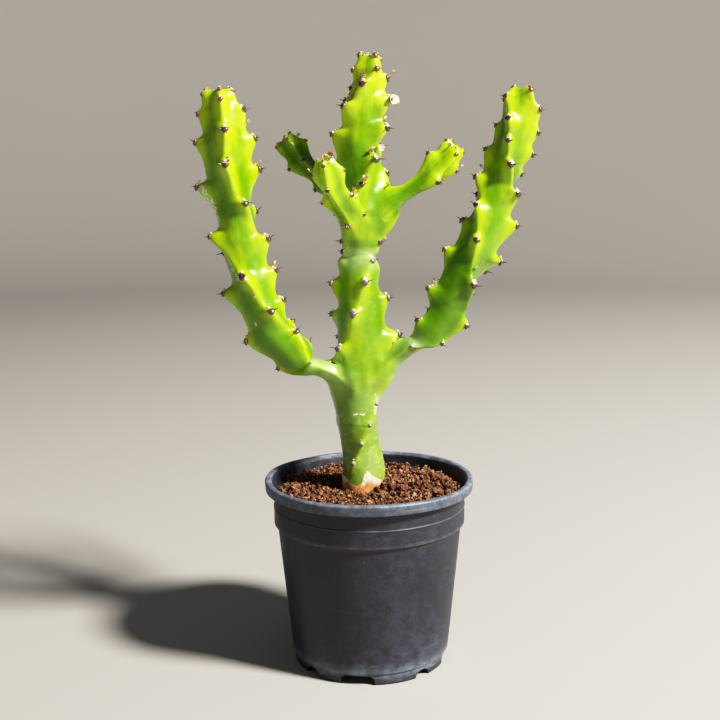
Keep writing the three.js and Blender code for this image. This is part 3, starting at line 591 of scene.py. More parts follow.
def make_mesh(name, points, quads=(), triangles=(), smooth=True, normals=None, **values):
    """A mesh object from arrays of corners and faces, with its own normals if they are
    given. Values become attributes of its corners: numbers, or vectors where a value has
    three columns."""
    quads = np.asarray(quads, np.int32).reshape(-1, 4)
    triangles = np.asarray(triangles, np.int32).reshape(-1, 3)
    mesh = bpy.data.meshes.new(name)
    mesh.vertices.add(len(points))
    mesh.vertices.foreach_set("co", np.asarray(points, np.float32).ravel())
    corners = np.concatenate([quads.ravel(), triangles.ravel()])
    sizes = np.concatenate([np.full(len(quads), 4), np.full(len(triangles), 3)])
    mesh.loops.add(len(corners))
    mesh.loops.foreach_set("vertex_index", corners.astype(np.int32))
    mesh.polygons.add(len(sizes))
    starts = np.concatenate([[0], np.cumsum(sizes)[:-1]]).astype(np.int32)
    mesh.polygons.foreach_set("loop_start", starts)
    mesh.update(calc_edges=True)
    mesh.polygons.foreach_set("use_smooth", np.full(len(sizes), smooth))
    for key, value in values.items():
        value = np.asarray(value, np.float32)
        kind = ("FLOAT", "value") if value.ndim == 1 else ("FLOAT_VECTOR", "vector")
        layer = mesh.attributes.new(key, kind[0], "POINT")
        layer.data.foreach_set(kind[1], value.ravel())
    mesh.validate()
    if normals is not None:
        mesh.normals_split_custom_set_from_vertices(normals)
    piece = bpy.data.objects.new(name, mesh)
    bpy.context.scene.collection.objects.link(piece)
    return piece


def join_copies(shape, quads, triangles, centres, axes, sizes):
    """Many copies of one small shape as arrays: each copy's corners are the shape's, scaled,
    turned by its three axes and moved to its centre."""
    count, corners = len(centres), len(shape)
    scaled = shape[None] * sizes[:, None, :]
    points = centres[:, None] + np.einsum("nck,nkd->ncd", scaled, axes)
    shift = (np.arange(count) * corners)[:, None, None]
    all_quads = (np.asarray(quads, int).reshape(-1, 4)[None] + shift).reshape(-1, 4)
    all_triangles = (np.asarray(triangles, int).reshape(-1, 3)[None] + shift).reshape(-1, 3)
    return points.reshape(-1, 3), all_quads, all_triangles


def finish_piece(piece, material, slot, *nodes):
    """Gives a piece its finish, lets it ride on the plant and puts it in its node's place."""
    piece.data.materials.append(material)
    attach(piece, "root")
    if nodes:
        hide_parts(*nodes)
    return piece


# ------------------------------------------------------------------ shader helper
class Value:
    """A shader socket in plain arithmetic: each operator adds its Math node, also where the
    number stands first."""

    def __init__(self, shader, socket):
        self.shader = shader
        self.socket = socket

    def __add__(self, other):
        return self.shader.math("ADD", self, other)

    def __sub__(self, other):
        return self.shader.math("SUBTRACT", self, other)

    def __rsub__(self, other):
        return self.shader.math("SUBTRACT", other, self)

    def __mul__(self, other):
        return self.shader.math("MULTIPLY", self, other)

    __radd__ = __add__
    __rmul__ = __mul__


class Finish:
    """A material under construction, with one Principled shader."""

    def __init__(self, name, **constants):
        self.material = bpy.data.materials.new(name)
        self.material.use_nodes = True
        self.nodes = self.material.node_tree.nodes
        self.links = self.material.node_tree.links
        self.shader = self.nodes["Principled BSDF"]
        self.place = self.node("ShaderNodeTexCoord", {}, {}, "Object")
        for socket, value in constants.items():
            self.shader.inputs[socket.replace("_", " ")].default_value = value

    def node(self, kind, settings, sockets, output=0):
        """Adds a node: its settings first, then the values or links of its sockets."""
        made = self.nodes.new(kind)
        for key, value in settings.items():
            if key == "stops":
                self._stops(made.color_ramp, value)
            else:
                setattr(made, key, value)
        for key, value in sockets.items():
            if isinstance(value, Value):
                self.links.new(value.socket, made.inputs[key])
            elif made.inputs[key].type == "RGBA":
                made.inputs[key].default_value = (*value, 1)
            else:
                made.inputs[key].default_value = value
        return Value(self, made.outputs[output])

    @staticmethod
    def _stops(ramp, stops):
        """Sets a ramp's stops, each (place, colour)."""
        for spare in list(ramp.elements)[1:]:
            ramp.elements.remove(spare)
        for i, (place, colour) in enumerate(stops):
            stop = ramp.elements[0] if i == 0 else ramp.elements.new(place)
            stop.position = place
            stop.color = (*colour, 1)

    def math(self, operation, *values):
        """A Math node on values or numbers."""
        return self.node("ShaderNodeMath", {"operation": operation}, dict(enumerate(values)))

    def noise(self, scale, detail=3.0, roughness=0.55, stretch=(1, 1, 1), distortion=0.0,
              place=None):
        """Smooth noise with so many waves in a metre, stretched by its own share on each
        axis."""
        at = self.node("ShaderNodeMapping", {"vector_type": "POINT"},
                       {"Vector": place or self.place, "Scale": stretch})
        return self.node("ShaderNodeTexNoise", {"noise_dimensions": "3D"},
                         {"Vector": at, "Scale": scale, "Detail": detail,
                          "Roughness": roughness, "Distortion": distortion}, "Fac")

    def dots(self, scale, inner, outer):
        """Scattered round dots: 1 within inner of the nearest random centre, 0 past outer."""
        gap = self.node("ShaderNodeTexVoronoi", {"feature": "F1"},
                        {"Vector": self.place, "Scale": scale}, "Distance")
        return self.fade(gap, inner, outer, 1.0, 0.0)

    def attribute(self, name, output="Fac"):
        """A value that the mesh carries at its corners."""
        return self.node("ShaderNodeAttribute", {"attribute_name": name}, {}, output)

    def fade(self, value, low, high, start=0.0, end=1.0):
        """Runs from start to end as value goes from low to high, held level outside."""
        return self.node("ShaderNodeMapRange", {"interpolation_type": "SMOOTHSTEP"},
                         {"Value": value, "From Min": low, "From Max": high,
                          "To Min": start, "To Max": end}, "Result")

    def mix(self, factor, a, b):
        """Colour a where the factor is 0, colour b where it is 1."""
        return self.node("ShaderNodeMix", {"data_type": "RGBA"}, {0: factor, 6: a, 7: b}, 2)

    def height(self):
        """Height above the floor."""
        return self.node("ShaderNodeSeparateXYZ", {}, {0: self.place}, "Z")

    def bump(self, height, strength, distance):
        """A relief for the shader's Normal."""
        return self.node("ShaderNodeBump", {},
                         {"Height": height, "Strength": strength, "Distance": distance},
                         "Normal")

    def feed(self, **links):
        """Links values to the shader's sockets and gives the material."""
        for socket, value in links.items():
            self.links.new(value.socket, self.shader.inputs[socket.replace("_", " ")])
        return self.material


# ------------------------------------------------------------------ finishes
# Colours of the finishes' small marks, the same on every plant.
TINTS = {
    # The dark green crease colour is painted shade in the trunk's crease.
    "lichen": (0.42, 0.52, 0.28), "crease": (0.05, 0.10, 0.01), "scar": (0.74, 0.75, 0.62),
    # The shields' paler rim colour below is a painted highlight.
    "chalk": (0.84, 0.74, 0.60), "painted_rim_highlight": (0.24, 0.16, 0.15),
    "young_horn": (0.20, 0.060, 0.036), "cream_eye": (0.78, 0.58, 0.42),
    "horn_point": (0.020, 0.010, 0.010), "cream_petal": (0.80, 0.69, 0.52),
    "petal_lip": (0.36, 0.17, 0.06), "brown_petal": (0.30, 0.14, 0.05),
    "petal_heart": (0.26, 0.11, 0.05), "dust_film": (0.050, 0.058, 0.086),
    # The paler bluish edge colour below is rubbed wear and painted highlight.
    "rubbed_edge_and_highlight": (0.18, 0.215, 0.28), "scuff": (0.20, 0.20, 0.20),
    # The dark brown below is painted shadow under the collar, and the soil seen in the drain
    # holes.
    "speck": (0.15, 0.145, 0.14), "collar_shadow_and_drain_brown": (0.050, 0.026, 0.014),
    "light_coir": (0.27, 0.125, 0.062), "tan_coir": (0.40, 0.225, 0.125),
    "straw_coir": (0.74, 0.57, 0.36), "dry_coir": (0.33, 0.17, 0.10),
}


def shade(colour, share):
    """A colour with its red, green and blue times the share."""
    return [part * share for part in colour]


def skin_finish(colours):
    """Waxy skin: yellow-green on the ribs and tubercles, deeper green between them, partly the
    skin's own colour and partly painted light on the ribs and painted shade in the valleys, with
    stretches of painted shade and painted light, duller and mottled on the trunk, with pale bloom,
    white scars, one healed crease darkened with painted shade and a corky heel."""
    f = Finish("waxy_skin", Subsurface_Weight=0.25, Subsurface_Scale=0.003,
               Subsurface_Radius=(0.3, 1.0, 0.05), Specular_IOR_Level=0.5,
               Specular_Tint=(1.0, 1.0, 0.75, 1.0), Coat_Weight=0.35, Coat_Roughness=0.2)
    crest, knob = f.attribute("crest"), f.attribute("knob")
    age, bloom, lush = f.attribute("age"), f.attribute("bloom"), f.attribute("lush")
    patch = f.noise(45, 4, 0.55, distortion=0.4)
    streak = f.noise(240, 3, 0.6, place=f.attribute("grain", "Vector"))
    young = f.fade(f.height(), 0.31, 0.41)
    # Painted shade and painted light: the stretches of painted shade make the skin less sunny, and
    # those of painted light, with a share below nought, sunnier.
    sunny = crest * 0.45 + patch * 0.65 + knob * 0.35 + streak * 0.4 + young * 0.2 - lush * 0.3
    # Painted light and shade: the crests and tubercles pick the sunny yellow-green and the valleys
    # between ribs the deep green, partly the skin's own paler ribs and partly painted light on
    # them and painted shade between them.
    skin = f.mix(f.fade(sunny, 0.52, 1.14), colours.deep_skin, colours.sunny_skin)
    skin = f.mix(young * f.fade(sunny, 0.8, 1.3) * 0.6, skin, colours.young_skin)
    # Painted shade: the stretches of painted shade darken the skin towards half the deep green.
    skin = f.mix(lush * 0.55, skin, shade(colours.deep_skin, 0.5))
    mottle = f.fade(f.noise(110, 5, 0.65) * 0.6 + patch * 0.4, 0.4, 0.62)
    old = f.mix(mottle, shade(colours.old_skin, 0.6), colours.old_skin)
    skin = f.mix(age * 0.75, skin, old)
    lichen = f.fade(f.noise(230, 4, 0.7), 0.55, 0.66) * age * 0.4
    dots = f.dots(640, 0.10, 0.22) * f.fade(patch, 0.45, 0.6)
    skin = f.mix(lichen + dots * f.fade(age, 0.75, 1.0, 0.0, 0.7), skin, TINTS["lichen"])
    skin = f.mix(bloom * f.fade(patch, 0.2, 0.8, 0.6, 1.0), skin, colours.bloom)
    level = f.height() + f.noise(60, 3) * 0.005
    crease = f.fade(f.math("ABSOLUTE", level - CREASE["height"]), 0.0, CREASE["reach"], 1.0, 0.0)
    crease = crease * f.fade(age, 0.6, 0.8) * f.fade(f.noise(110, 3), 0.38, 0.58, 0.1, 0.8)
    # Painted shade: a thin dark green line along the crease's groove.
    skin = f.mix(crease * 0.4, skin, TINTS["crease"])
    flake = f.fade(f.noise(620, 4, 0.65), 0.44, 0.56)
    scar = f.fade(f.attribute("scar") * f.fade(flake, 0, 1, 0.35, 1.0), 0.42, 0.52)
    skin = f.mix(scar * 0.9, skin, TINTS["scar"])
    corky = f.fade(f.attribute("cork") + f.noise(420, 4, 0.6) * 0.5, 0.70, 0.80)
    grain = f.fade(f.noise(380, 5, 0.7), 0.35, 0.65)
    cork = f.mix(grain, shade(colours.cork, 0.6), colours.cork)
    cork = f.mix(f.attribute("chalk") * f.fade(grain, 0, 1, 0.75, 1.0), cork, TINTS["chalk"])
    skin = f.mix(corky, skin, cork)
    rough = f.fade(patch, 0.3, 0.8, 0.24, 0.36) + age * 0.06 + corky * 0.4 + scar * 0.25
    relief = f.noise(700, 3, 0.6) * 0.15 + streak * 0.45 - crease * 1.2
    relief = relief + corky * grain * 1.5 + scar * 0.8
    return f.feed(Base_Color=skin, Roughness=rough, Normal=f.bump(relief, 0.28, 0.0010))


def horn_finish(colours):
    """Horny shields and spines: dark purple-brown with a paler rim that is painted highlight,
    cream eyes, and cream on the shields' upper halves, partly the eyes' colour and partly painted
    highlight, silver on old ones, red-brown on the youngest, dark at the spines' points."""
    f = Finish("horn", Coat_Weight=0.5, Coat_Roughness=0.12)
    old, young, rim = f.attribute("old"), f.attribute("young"), f.attribute("rim")
    grain = f.noise(1300, 3, 0.6)
    horn = f.mix(f.fade(grain, 0.4, 0.7), colours.shield, shade(colours.shield, 2.2))
    # Painted highlight: a paler grey-brown round each shield's rim.
    horn = f.mix(rim * 0.5, horn, TINTS["painted_rim_highlight"])
    horn = f.mix(young * 0.8, horn, TINTS["young_horn"])
    silver = f.mix(f.fade(grain, 0.35, 0.65), shade(colours.old_shield, 0.4), colours.old_shield)
    horn = f.mix(old * f.fade(rim + grain * 0.8, 0.3, 1.0, 0.35, 1.0), horn, silver)
    # Cream eyes, and cream on each shield's upper half, partly the eye's colour and partly painted
    # highlight.
    horn = f.mix(f.fade(f.attribute("bud") + grain * 0.5, 0.4, 0.8), horn, TINTS["cream_eye"])
    horn = f.mix(f.attribute("point") * 0.9, horn, TINTS["horn_point"])
    rough = f.fade(grain, 0.3, 0.7, 0.26, 0.42) + old * 0.2
    return f.feed(Base_Color=horn, Roughness=rough, Normal=f.bump(grain, 0.35, 0.0004))


def petal_finish(colours):
    """Dry papery flowers: cream to straw, browner at the rim and the heart, and blotched."""
    f = Finish("dry_petal", Subsurface_Weight=0.1, Subsurface_Scale=0.001)
    blotch = f.noise(420, 4, 0.65)
    lip = f.attribute("lip")
    petal = f.mix(f.fade(blotch, 0.42, 0.72), TINTS["cream_petal"], colours.petal)
    petal = f.mix(f.fade(lip + blotch * 0.7, 1.0, 1.4), petal, TINTS["petal_lip"])
    petal = f.mix(f.attribute("brown"), petal, TINTS["brown_petal"])
    petal = f.mix(f.attribute("heart") * 0.6, petal, TINTS["petal_heart"])
    rough = f.fade(blotch, 0.3, 0.7, 0.6, 0.85)
    return f.feed(Base_Color=petal, Roughness=rough, Normal=f.bump(blotch, 0.5, 0.0005))


def pot_finish(colours):
    """Moulded charcoal plastic: fine grain, a thin film of dust that thickens low down, on the
    ledges and inside the lip, rubbed edges with painted highlight on the lip and the ledge,
    painted shadow under the collar, soil-brown drain holes and long light scuffs."""
    f = Finish("pot_plastic")
    edge, dust = f.attribute("edge"), f.attribute("dust")
    cloud = f.noise(22, 5, 0.62, distortion=0.5)
    fine = f.noise(150, 5, 0.7)
    grain = f.noise(1100, 3, 0.6)
    film = f.fade(cloud * 0.5 + fine * 0.5, 0.40, 0.68)
    specks = f.dots(640, 0.08, 0.20) * f.fade(f.noise(75, 3), 0.44, 0.58)
    scuffs = f.fade(f.noise(40, 5, 0.7, stretch=(1, 1, 7), distortion=0.3), 0.57, 0.70)
    tone = f.mix(film * (dust * 0.62 + 0.38), colours.pot, TINTS["dust_film"])
    # Paler bluish grey: rubbed wear on the edges, and painted highlight on the lip, its top and
    # the ledge.
    tone = f.mix(edge * f.fade(fine, 0.38, 0.66, 0.4, 0.95), tone, TINTS["rubbed_edge_and_highlight"])
    tone = f.mix(scuffs * (edge * 0.7 + dust * 0.35 + 0.04), tone, TINTS["scuff"])
    tone = f.mix(specks * 0.5, tone, TINTS["speck"])
    # Painted shadow under the collar's step, and soil-brown in the drain holes.
    tone = f.mix(f.fade(f.attribute("dirt") + cloud * 0.6, 0.5, 1.1), tone, TINTS["collar_shadow_and_drain_brown"])
    rough = f.fade(cloud * 0.5 + fine * 0.5, 0.35, 0.65, 0.40, 0.56) + film * 0.1
    relief = grain * 0.6 + f.noise(300, 3) * 0.5 + scuffs * 0.4
    return f.feed(Base_Color=tone, Roughness=rough, Normal=f.bump(relief, 0.18, 0.0006))


def soil_finish(colours):
    """Coir: red-brown crumbs from nearly black to tan, each with its own tone, darkened with
    painted shade in the gaps between the clods.
    """
    f = Finish("coir", Roughness=0.95)
    tone, deep = f.attribute("tone"), f.attribute("deep")
    grain = f.noise(900, 4, 0.65)
    stops = [(0.0, shade(colours.soil, 0.28)), (0.28, shade(colours.soil, 0.62)),
             (0.52, colours.soil), (0.74, TINTS["light_coir"]),
             (0.90, TINTS["tan_coir"]), (1.0, TINTS["straw_coir"])]
    brown = f.node("ShaderNodeValToRGB", {"stops": stops},
                   {"Fac": tone * 0.82 + grain * 0.18}, "Color")
    brown = f.mix(f.fade(grain, 0.45, 0.75) * 0.35, brown, TINTS["dry_coir"])
    # Painted shade: nearly black brown in the gaps between the clods.
    brown = f.mix(deep, brown, shade(colours.soil, 0.16))
    rough = f.fade(grain, 0.3, 0.7, 0.85, 1.0)
    return f.feed(Base_Color=brown, Roughness=rough,
                  Normal=f.bump(f.noise(1500, 3, 0.7), 0.8, 0.0008))


def floor_finish(colours):
    """A pale matt floor, very faintly clouded."""
    f = Finish("studio_floor", Roughness=0.85)
    tone = f.mix(f.noise(1.6, 3), shade(colours.floor, 0.97), colours.floor)
    return f.feed(Base_Color=tone)


FINISHES = {
    "skin": skin_finish, "horn": horn_finish, "petal": petal_finish,
    "pot": pot_finish, "soil": soil_finish, "floor": floor_finish,
}


def finish(context, name):
    """The named finish, made once."""
    made = bpy.data.materials.get("euphorbia_" + name)
    if made is None:
        made = FINISHES[name](context.scene.euphorbia.colours)
        made.name = "euphorbia_" + name
    return made


# ------------------------------------------------------------------ stems
def rolled_tip(ring, centre, along):
    """The rounded tip: rows that roll in from the last ring, with t from 0 to 1 on the way.
    A row shrinks by 1 - t, stands up in a low rim by half a sine over the first two fifths,
    and sinks by t^1.5 times the dish's depth, which is 0.28 of the ring's mean radius. The
    middle of the dish comes after them."""
    t = np.linspace(0, 1, 9)[1:-1, None, None]
    dish = 0.28 * np.linalg.norm(ring - centre, axis=1).mean()
    rim = 0.5 * MM * np.sin(np.pi * np.minimum(t * 2.5, 1))
    rows = centre + (ring - centre) * (1 - t) + (rim - dish * t**1.5) * along
    return rows, centre - dish * along


def stem_skin(stem, others, joins):
    """The closed skin of a stem: rows of points at even steps along it, then its rounded tip.
    Where another stem joins, each point moves out to the smooth blend of both surfaces. The
    whole skin is then raised along its normals by two gentle waves of 13 and 6 mm, and sinks
    where the other stem covers it. It keeps the normals it had before it sank, so that two
    joined skins shade as one. The grain's place runs round a 10 mm circle with the turn and a
    fifth as fast along the stem, which draws the skin's streaks out lengthwise."""
    s = np.linspace(0, stem.length, int(stem.length / stem.settings.mesh_step))
    turn = stem.turns(s)
    points, outward = stem.point(s[:, None], turn)
    _, _, crest, knob = stem.skin(s[:, None], turn)
    flat, away = points.reshape(-1, 3), outward.reshape(-1, 3)
    shares = np.stack([crest.ravel(), knob.ravel()], -1)
    sink = np.zeros(len(flat))
    for other, reach in joins:
        flat, shares, deep = blend_towards(flat, away, shares, others[other], reach * MM)
        sink = np.maximum(sink, deep)
    rows, columns = turn.shape
    centre, along, _, _ = stem.frame(s[-1])
    tip, middle = rolled_tip(flat[-columns:], centre, along)
    points = np.concatenate([flat, tip.reshape(-1, 3), [middle], [stem.centre(0.0)]])
    rows += len(tip)
    quads = grid_faces(rows, columns)
    triangles = caps(rows, columns, len(points) - 1, len(points) - 2)
    wave = ripple(points, 13 * MM, 3) + 0.25 * ripple(points, 6 * MM, 4)
    normals = corner_normals(points, quads, triangles)
    points += stem.settings.skin_wave * wave[:, None] * normals
    normals = corner_normals(points, quads, triangles)
    extra = len(points) - len(flat)
    points[:len(flat)] -= sink[:, None] * away
    crest, knob = (np.concatenate([share, np.zeros(extra)]) for share in shares.T)
    angle = np.radians(np.concatenate([turn.ravel(), np.tile(turn[-1], len(tip)), [0, 0]]))
    walk = np.concatenate([np.repeat(s, columns), np.full(extra, s[-1])])
    grain = np.stack([10 * MM * np.cos(angle), 10 * MM * np.sin(angle), 0.2 * walk], -1)
    return points, quads, triangles, normals, crest, knob, walk, grain


def blend_towards(points, outward, shares, other, reach):
    """Moves points of one skin out to the smooth blend with another. With a and b the heights
    over the two skins, the blend lies where min(a, b) - max(reach - |a - b|, 0)^2 / (4 reach)
    is zero. Past the middle of the blend, where b < a, the point is to sink, slowly at first
    and by 4 mm at most. The shares of ridge and tubercle pass from one skin's to the other's
    over the blend."""
    moved, mixed, sink = points.copy(), shares.copy(), np.zeros(len(points))
    start, _, _, guess = other.over(points, other.nearest(points))
    near = np.flatnonzero(start < reach)
    if len(near) == 0:
        return moved, mixed, sink
    base, ray, guess = points[near], outward[near], guess[near]
    low, high = np.zeros(len(near)), np.full(len(near), float(reach))
    for step in range(13):  # the far end first, then halving
        a = (low + high) / 2 if step else high
        b, crest, knob, guess = other.over(base + a[:, None] * ray, guess)
        blend = np.minimum(a, b) - np.maximum(reach - np.abs(a - b), 0) ** 2 / (4 * reach)
        if step == 0:
            buried = blend < 0
        low, high = np.where(blend < 0, a, low), np.where(blend < 0, high, a)
    a = np.where(buried, 0, a)
    b = np.where(buried, start[near], b)
    past = np.maximum(a - b - 0.3 * MM, 0)
    sink[near] = np.minimum(np.minimum(past**2 / (2.5 * MM), past), 4 * MM)
    moved[near] = base + a[:, None] * ray
    weight = smoothstep(-reach, reach, a - b)[:, None]
    mixed[near] = (1 - weight) * shares[near] + weight * np.stack([crest, knob], -1)
    return moved, mixed, sink


def settle(stem, stems, s, turn, rise=0.0):
    """Places on the blended skin at s and turn, raised by so much, the directions away from
    the axis there, and which of them no other stem covers."""
    place, away = stem.point(s, turn, rise)
    free = np.ones(len(place), bool)
    for a, b, reach in JOINS:
        if stem.name in (a, b):
            other = stems[b if stem.name == a else a]
            place, _, sink = blend_towards(place, away, np.zeros((len(place), 2)), other,
                                           reach * MM)
            free &= sink < 0.8 * MM
    return place, away, free


def stroke(points, start, end, half_width):
    """exp(-(d / half width)^2), with d the distance from a line in the front view."""
    flat = points[:, [0, 2]]
    start, end = np.array(start) * MM, np.array(end) * MM
    run = end - start
    share = np.clip((flat - start) @ run / (run @ run), 0, 1)
    gap = np.linalg.norm(flat - start - share[:, None] * run, axis=1)
    return np.exp(-(gap / (half_width * MM)) ** 2)


def skin_marks(name, points, walk):
    """Age, bloom, cork, chalk, scars, and the stretches of painted shade and painted light on the
    green, from where a point is on the plant. Age grows down the trunk from 225 to 160 mm.
    Bloom lies on the ring at 293 mm and on the patches of BLOOM, and stops where a neck
    widens. Cork covers the heel below HEEL but for one green nick, with chalk on its upper part."""
    x, y, z = points.T
    front = y < 0
    by_trunk = 1 - smoothstep(17 * MM, 34 * MM, np.hypot(x + 6 * MM, y))
    height = z + ripple(points, 14 * MM, 8) * 12 * MM
    age = ((0.3 + 0.7 * smoothstep(225 * MM, 160 * MM, height)) * by_trunk
           * smoothstep(312 * MM, 288 * MM, z))
    bloom = 0.8 * bell(z - 293 * MM, 8 * MM, 5 * MM) * by_trunk
    for cx, cy, cz, reach, strength in BLOOM:
        gap = np.linalg.norm(points - np.array([cx, cy, cz]) * MM, axis=1)
        bloom = np.maximum(bloom, strength * np.exp(-(gap / (reach * 1.2 * MM)) ** 2))
    if name in NECKS:
        bloom *= smoothstep(2.5 * MM, -1.5 * MM, walk - NECKS[name] * MM)
    turn = np.degrees(np.arctan2(x + 5.6 * MM, -y))
    heel = (np.interp(turn, *np.transpose(HEEL)) + 0.5 * ripple(points, 4 * MM, 22)) * MM
    nick = stroke(points, (-15.6, 131.2), (-15.4, 131.4), 1.7) * front
    cork = smoothstep(1.2 * MM, -1.2 * MM, z - heel) * (1 - nick) * (name == "trunk")
    chalk = cork * smoothstep(-2.4 * MM, 2.4 * MM,
                              z - 132.2 * MM - 0.1 * x + 1.8 * MM * ripple(points, 5 * MM, 23))
    scar, lush = np.zeros(len(points)), np.zeros(len(points))
    for start, end, half_width in SCARS.get(name, []):
        scar = np.maximum(scar, stroke(points, start, end, half_width) * front)
    # Stretches of painted shade where the share is above nought, and of painted light where it is
    # below.
    for start, end, half_width, share in PAINTED_SHADING.get(name, []):
        lush += share * stroke(points, start, end, half_width)
    return {"age": age, "bloom": bloom, "cork": cork, "chalk": chalk, "scar": scar, "lush": lush}


def stem_slot(name):
    """The name of a stem's material slot."""
    return "old_stem" if name == "trunk" else "green_stem"


def build_stems(context):
    """One skin for each stem, blended into the stems that it joins."""
    settings = context.scene.euphorbia.stems
    stems = {name: Stem(name, settings) for name in STEMS}
    for name, stem in stems.items():
        joins = [(b if a == name else a, reach) for a, b, reach in JOINS if name in (a, b)]
        points, quads, triangles, normals, crest, knob, walk, grain = stem_skin(
            stem, stems, joins)
        piece = make_mesh(name + "_skin", points, quads, triangles, normals=normals,
                          crest=crest, knob=knob, grain=grain,
                          **skin_marks(name, points, walk))
        finish_piece(piece, finish(context, "skin"), stem_slot(name), name)


# ------------------------------------------------------------------ shields and spines
MARKS = ("old", "young", "bud", "rim", "point")  # what a corner of a shield or spine carries
BUD = -0.2  # tips below this size are the buds round a stem's top


def shield_shape():
    """A cushion: a half ellipsoid, u round it and v from its rim to its middle, closed
    underneath by the rim's own centre, and a quarter broader at the top than below. It
    bulges along +Z, with its height along Y. Its corners' shares of the rim come with it."""
    u = np.linspace(0, 2 * np.pi, 12, endpoint=False)
    v = np.array([-0.35, 0.0, 0.35, 0.7, 1.05, 1.35])[:, None]
    rim = [1, 1, 0.55, 0.15, 0, 0]
    high = np.cos(v) * np.sin(u)
    ring = np.stack([np.cos(v) * np.cos(u) * (1 + 0.25 * high), high, np.sin(v) + 0 * u], -1)
    points = np.concatenate([ring.reshape(-1, 3), [(0, 0, 1)], [(0, 0, -0.35)]])
    rows, columns = high.shape
    faces = grid_faces(rows, columns), caps(rows, columns, len(points) - 1, len(points) - 2)
    return (points, *faces), np.concatenate([np.repeat(rim, columns), [0, 1]])


def spine_shape():
    """A thorn along +Z: a cone of six sides whose radius is (1 - z)^0.8. How near each corner
    is to the point comes with it."""
    u = np.linspace(0, 2 * np.pi, 6, endpoint=False)
    z = np.array([0, 0.3, 0.65, 0.9])[:, None]
    radius = (1 - z) ** 0.8
    ring = np.stack([radius * np.cos(u), radius * np.sin(u), z + 0 * u], -1)
    points = np.concatenate([ring.reshape(-1, 3), [(0, 0, 1)], [(0, 0, 0)]])
    rows, columns = ring.shape[:2]
    faces = grid_faces(rows, columns), caps(rows, columns, len(points) - 1, len(points) - 2)
    return (points, *faces), np.concatenate([np.repeat(z.ravel(), columns), [1, 0]])


def tubercle_tips(stem, stems):
    """Every tip with a shield: place, directions out of it (a little up the stem), up and
    sideways, size and distance. The trunk's smallest tubercles have lost theirs."""
    least = 0.35 if stem.name == "trunk" else 0.05
    marks = np.concatenate([rib[rib[:, 2] > least] for rib in stem.ribs])
    tip, away, free = settle(stem, stems, marks[:, 0] + 0.5 * MM, marks[:, 1])
    s, _, size = marks[free].T
    tip, away = tip[free], away[free]
    _, along, _, _ = stem.frame(s)
    facing = unit(away + 0.35 * along)
    side = unit(np.cross(along, facing))
    return tip, facing, np.cross(facing, side), side, size, s


def crown_buds(stem, count=11):
    """Young tubercle tips round the top of a stem: one on each rib's end, and small ones that
    crowd between them."""
    rng = np.random.default_rng(len(stem.name))
    ends = np.array([rib[-1, 1] for rib in stem.ribs if rib[-1, 0] > stem.length - 12 * MM])
    between = np.arange(count) * 360 / count + rng.uniform(-16, 16, count)
    inward = np.concatenate([0 * ends, rng.uniform(0.2, 2.0, count)]) * MM
    turn = np.concatenate([ends, between])
    s = stem.length - np.concatenate([0 * ends, rng.uniform(0, 1.8, count)]) * MM
    tip, away = stem.point(s, turn, -inward)
    _, along, _, _ = stem.frame(s)
    facing = unit(away + 1.4 * along)
    side = unit(np.cross(along, facing))
    size = np.concatenate([0 * ends - 0.25, rng.uniform(-1.4, -0.4, count)])
    return tip, facing, np.cross(facing, side), side, size, s


def copies(shape, place, axes, sizes, **marks):
    """Copies of one small shape, and the marks of their corners. A mark is given for each
    copy in a column, for each corner in a row, or for both in a grid."""
    points, quads, triangles = shape
    grid = (len(place), len(points))
    return join_copies(points, quads, triangles, place, axes, sizes), {
        key: np.broadcast_to(marks.get(key, 0.0), grid).ravel() for key in MARKS}


def gather(name, parts):
    """One mesh from several sets of copies and their marks."""
    shapes, start = [], 0
    for (corners, quads, triangles), _ in parts:
        shapes.append((corners, quads + start, triangles + start))
        start += len(corners)
    points, quads, triangles = (np.concatenate(part) for part in zip(*shapes))
    marks = {key: np.concatenate([part[key] for _, part in parts]) for key in MARKS}
    return make_mesh(name, points, quads, triangles, **marks)


def shield_traits(stem, tip, size, s, rng):
    """Of each shield: how large it is, how young, how weathered, how worn down low on the plant,
    and how cream its upper half is, partly the colour of the eye above it and partly painted
    highlight.
    Shields are smaller near a stem's top and on the arms."""
    on_trunk, count = stem.name == "trunk", len(tip)
    young = smoothstep(stem.length - 22 * MM, stem.length - 2 * MM, s) * (not on_trunk)
    grown = (0.74 + 0.24 * np.minimum(size, 1.1)) * rng.uniform(0.88, 1.08, count)
    grown *= 1 - 0.2 * young
    if stem.name.endswith("_arm"):
        grown *= 0.72
    old = np.maximum(smoothstep(255 * MM, 200 * MM, tip[:, 2]), 0.5) * on_trunk
    low = smoothstep(215 * MM, 175 * MM, tip[:, 2]) * on_trunk
    if stem.name in NECKS:
        low = 1.0 * (s < (NECKS[stem.name] + 3) * MM)
        old = 0.9 * low
    grown *= 1 - 0.2 * low
    cream_and_highlight = np.where(size < BUD, rng.uniform(-0.3, 1.2, count).clip(0, 1), 0)
    return grown, young, old, low, np.maximum(cream_and_highlight, rng.uniform(0, 0.75, count))


